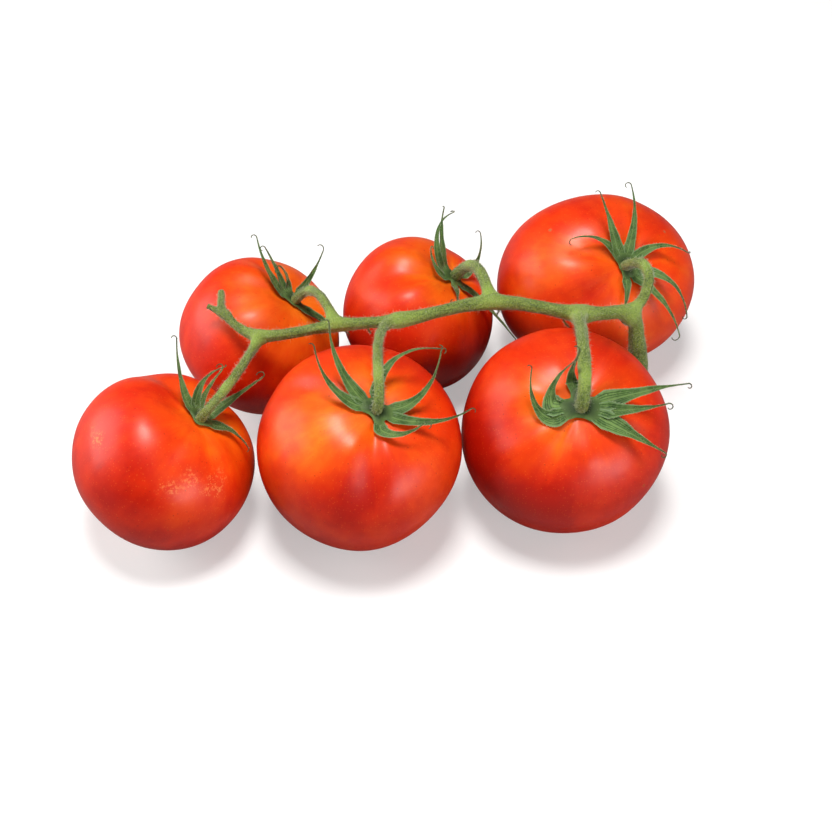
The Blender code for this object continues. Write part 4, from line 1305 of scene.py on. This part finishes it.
def stem_material(speckles, mottle):
    """Downy green stem: dark green between pale dots of down, faint long fibres, olive patches,
    a greyish bloom, limey nodes and knuckles, and brown cut ends."""
    made, nodes, shader = new_material("stem_green")
    place = nodes.place()
    fibres = nodes.noise(nodes.vector("grain"), 2.6, 4.0, 0.6)
    down = nodes.noise(place, 1900.0, 3.0, 0.7)
    share = nodes.fit(nodes.plus(nodes.times(down, 0.75), nodes.times(fibres, 0.25)), 0.40, 0.60)
    base = nodes.mix(share, colour(0.044, 0.084, 0.012), colour(0.235, 0.305, 0.054))
    bloom = nodes.mask(mottle, vector=place, scale=110.0, low=0.45, high=0.75)
    base = nodes.tint(base, bloom, 0.35, colour(0.260, 0.320, 0.110))
    olive = nodes.mask(mottle, vector=place, scale=300.0, low=0.55, high=0.78)
    base = nodes.tint(base, olive, 0.35, colour(0.140, 0.135, 0.030))
    dots = nodes.mask(speckles, vector=place, scale=2100.0, share=0.62, size=0.44)
    base = nodes.tint(base, dots, 0.50, colour(0.450, 0.520, 0.200))
    base = nodes.tint(base, nodes.value("knuckle"), 0.55, colour(0.320, 0.450, 0.075))
    base = nodes.mix(nodes.value("cut"), base, colour(0.110, 0.105, 0.040))
    nodes.put(shader["Base Color"], base)
    nodes.put(shader["Roughness"], nodes.fit(fibres, 0.3, 0.7, 0.55, 0.70))
    set_plain(shader, {
        "Subsurface Weight": 0.08,
        "Subsurface Radius": (0.0007, 0.0012, 0.0003),
        "Subsurface Scale": 0.6,
        "Specular IOR Level": 0.3,
        "Sheen Weight": 0.30,
        "Sheen Roughness": 0.40,
    })
    nodes.relief(shader, nodes.plus(down, nodes.times(dots, 0.7)), 0.9, 0.00032)
    return made


def hair_material():
    """Nearly colourless hairs, greener at the root."""
    made, nodes, shader = new_material("plant_hair")
    base = nodes.mix(nodes.value("tipness"), colour(0.38, 0.44, 0.20), colour(0.80, 0.80, 0.66))
    nodes.put(shader["Base Color"], base)
    set_plain(shader, {"Roughness": 0.5})
    return made


def floor_material():
    """A pale matt floor that glows faintly to the eye alone, and throws little light back."""
    made, nodes, shader = new_material("pale_floor")
    tint = nodes.noise(nodes.place(), 3.0, 2.0)
    pale = nodes.mix(tint, colour(0.62, 0.62, 0.62), colour(0.65, 0.65, 0.65))
    seen = nodes.add("ShaderNodeLightPath").outputs["Is Camera Ray"]
    nodes.put(shader["Base Color"], nodes.mix(seen, colour(0.26, 0.25, 0.25), pale))
    nodes.put(shader["Emission Strength"], nodes.fit(seen, 0.0, 1.0, 0.0, FLOOR_GLOW))
    white = colour(1.0, 1.0, 1.0)
    set_plain(shader, {"Emission Color": white, "Roughness": 0.7, "Specular IOR Level": 0.1})
    return made


# ---------------------------------------------------------------- floor, light and camera
def make_floor():
    """A flat square that the truss lies on."""
    half = FLOOR_HALF
    corners = [(-half, -half, 0.0), (half, -half, 0.0), (half, half, 0.0), (-half, half, 0.0)]
    mesh = bpy.data.meshes.new("floor")
    mesh.from_pydata(corners, [], [(0, 1, 2, 3)])
    mesh.materials.append(floor_material())
    floor = bpy.data.objects.new("floor", mesh)
    bpy.context.scene.collection.objects.link(floor)


def make_light(name, towards, distance, width, height, power, tint, gloss):
    """A soft rectangular lamp that faces the truss from the given direction. Its reflections have
    `gloss` of its strength, as from behind a polarising sheet."""
    data = bpy.data.lights.new(name, "AREA")
    data.shape = "RECTANGLE"
    data.size = width
    data.size_y = height
    data.energy = power
    data.color = tint
    data.use_nodes = True
    lamp_nodes = Nodes(data.node_tree)
    mirrored = lamp_nodes.add("ShaderNodeLightPath").outputs["Is Glossy Ray"]
    strength = data.node_tree.nodes["Emission"].inputs["Strength"]
    lamp_nodes.put(strength, lamp_nodes.fit(mirrored, 0.0, 1.0, 1.0, gloss))
    lamp = bpy.data.objects.new(name, data)
    way = Vector(towards).normalized()
    lamp.location = Vector(LAMP_AIM) + way * distance
    lamp.rotation_euler = way.to_track_quat("Z", "Y").to_euler()
    lamp.visible_camera = False
    bpy.context.scene.collection.objects.link(lamp)


def make_lights():
    """A window at the left, a broad front fill, a small box overhead, and a pale room that looks
    brighter than it lights."""
    make_light("window_left", (-0.92, 0.24, 0.42), 0.85, 0.75, 0.65, 7.0, (1.0, 0.985, 0.96), 0.60)
    make_light("front_fill", (0.56, -0.80, 0.24), 1.10, 0.80, 0.45, 7.0, (1.0, 0.98, 0.97), 0.45)
    make_light("overhead", (-0.02, 0.02, 1.0), 0.90, 0.26, 0.26, 7.5, (1.0, 0.99, 0.97), 0.28)
    world = bpy.data.worlds.new("room")
    world.use_nodes = True
    room = Nodes(world.node_tree)
    seen = room.add("ShaderNodeLightPath").outputs["Is Camera Ray"]
    back = world.node_tree.nodes["Background"].inputs
    back["Color"].default_value = colour(1.0, 1.0, 1.0)
    room.put(back["Strength"], room.fit(seen, 0.0, 1.0, ROOM_LIGHT, ROOM_SEEN))
    bpy.context.scene.world = world
    bpy.context.scene.view_settings.view_transform = "Standard"


def make_camera():
    """The view from in front and well above the truss."""
    data = bpy.data.cameras.new("camera")
    data.lens = CAMERA_LENS
    camera = bpy.data.objects.new("camera", data)
    camera.location = CAMERA_PLACE
    camera.rotation_euler = (math.radians(CAMERA_TILT), 0.0, math.radians(CAMERA_TURN))
    bpy.context.scene.collection.objects.link(camera)
    bpy.context.scene.camera = camera


# ---------------------------------------------------------------- everything together
def scar_spots(places):
    """(middle, size) of each healed scar on the skin."""
    spots = []
    for number, polar, bearing, size in SCARS:
        tomato = TOMATOES[number - 1]
        polar, bearing = np.float64(polar), np.float64(bearing)
        point = places[number].out(skin_radius(tomato, polar, bearing) * spherical(polar, bearing))
        spots.append((tuple(float(part) for part in point), size))
    return spots


make_camera()
make_floor()
make_lights()
places = {tomato.number: find_place(tomato) for tomato in TOMATOES}
speckles = speckle_group()
mottle = mottle_group()
skin = skin_material(speckles, mottle, scar_spots(places))
leaf = leaf_material(speckles, mottle)
bark = stem_material(speckles, mottle)
hair = hair_material()
rims = []
for tomato in TOMATOES:
    make_tomato(tomato, places[tomato.number], skin)
    rims.extend(make_calyx(tomato, places[tomato.number], leaf))
tube_sides = make_truss(places, bark)
make_stem_hairs(tube_sides, hair)
make_sepal_hairs(rims, hair)
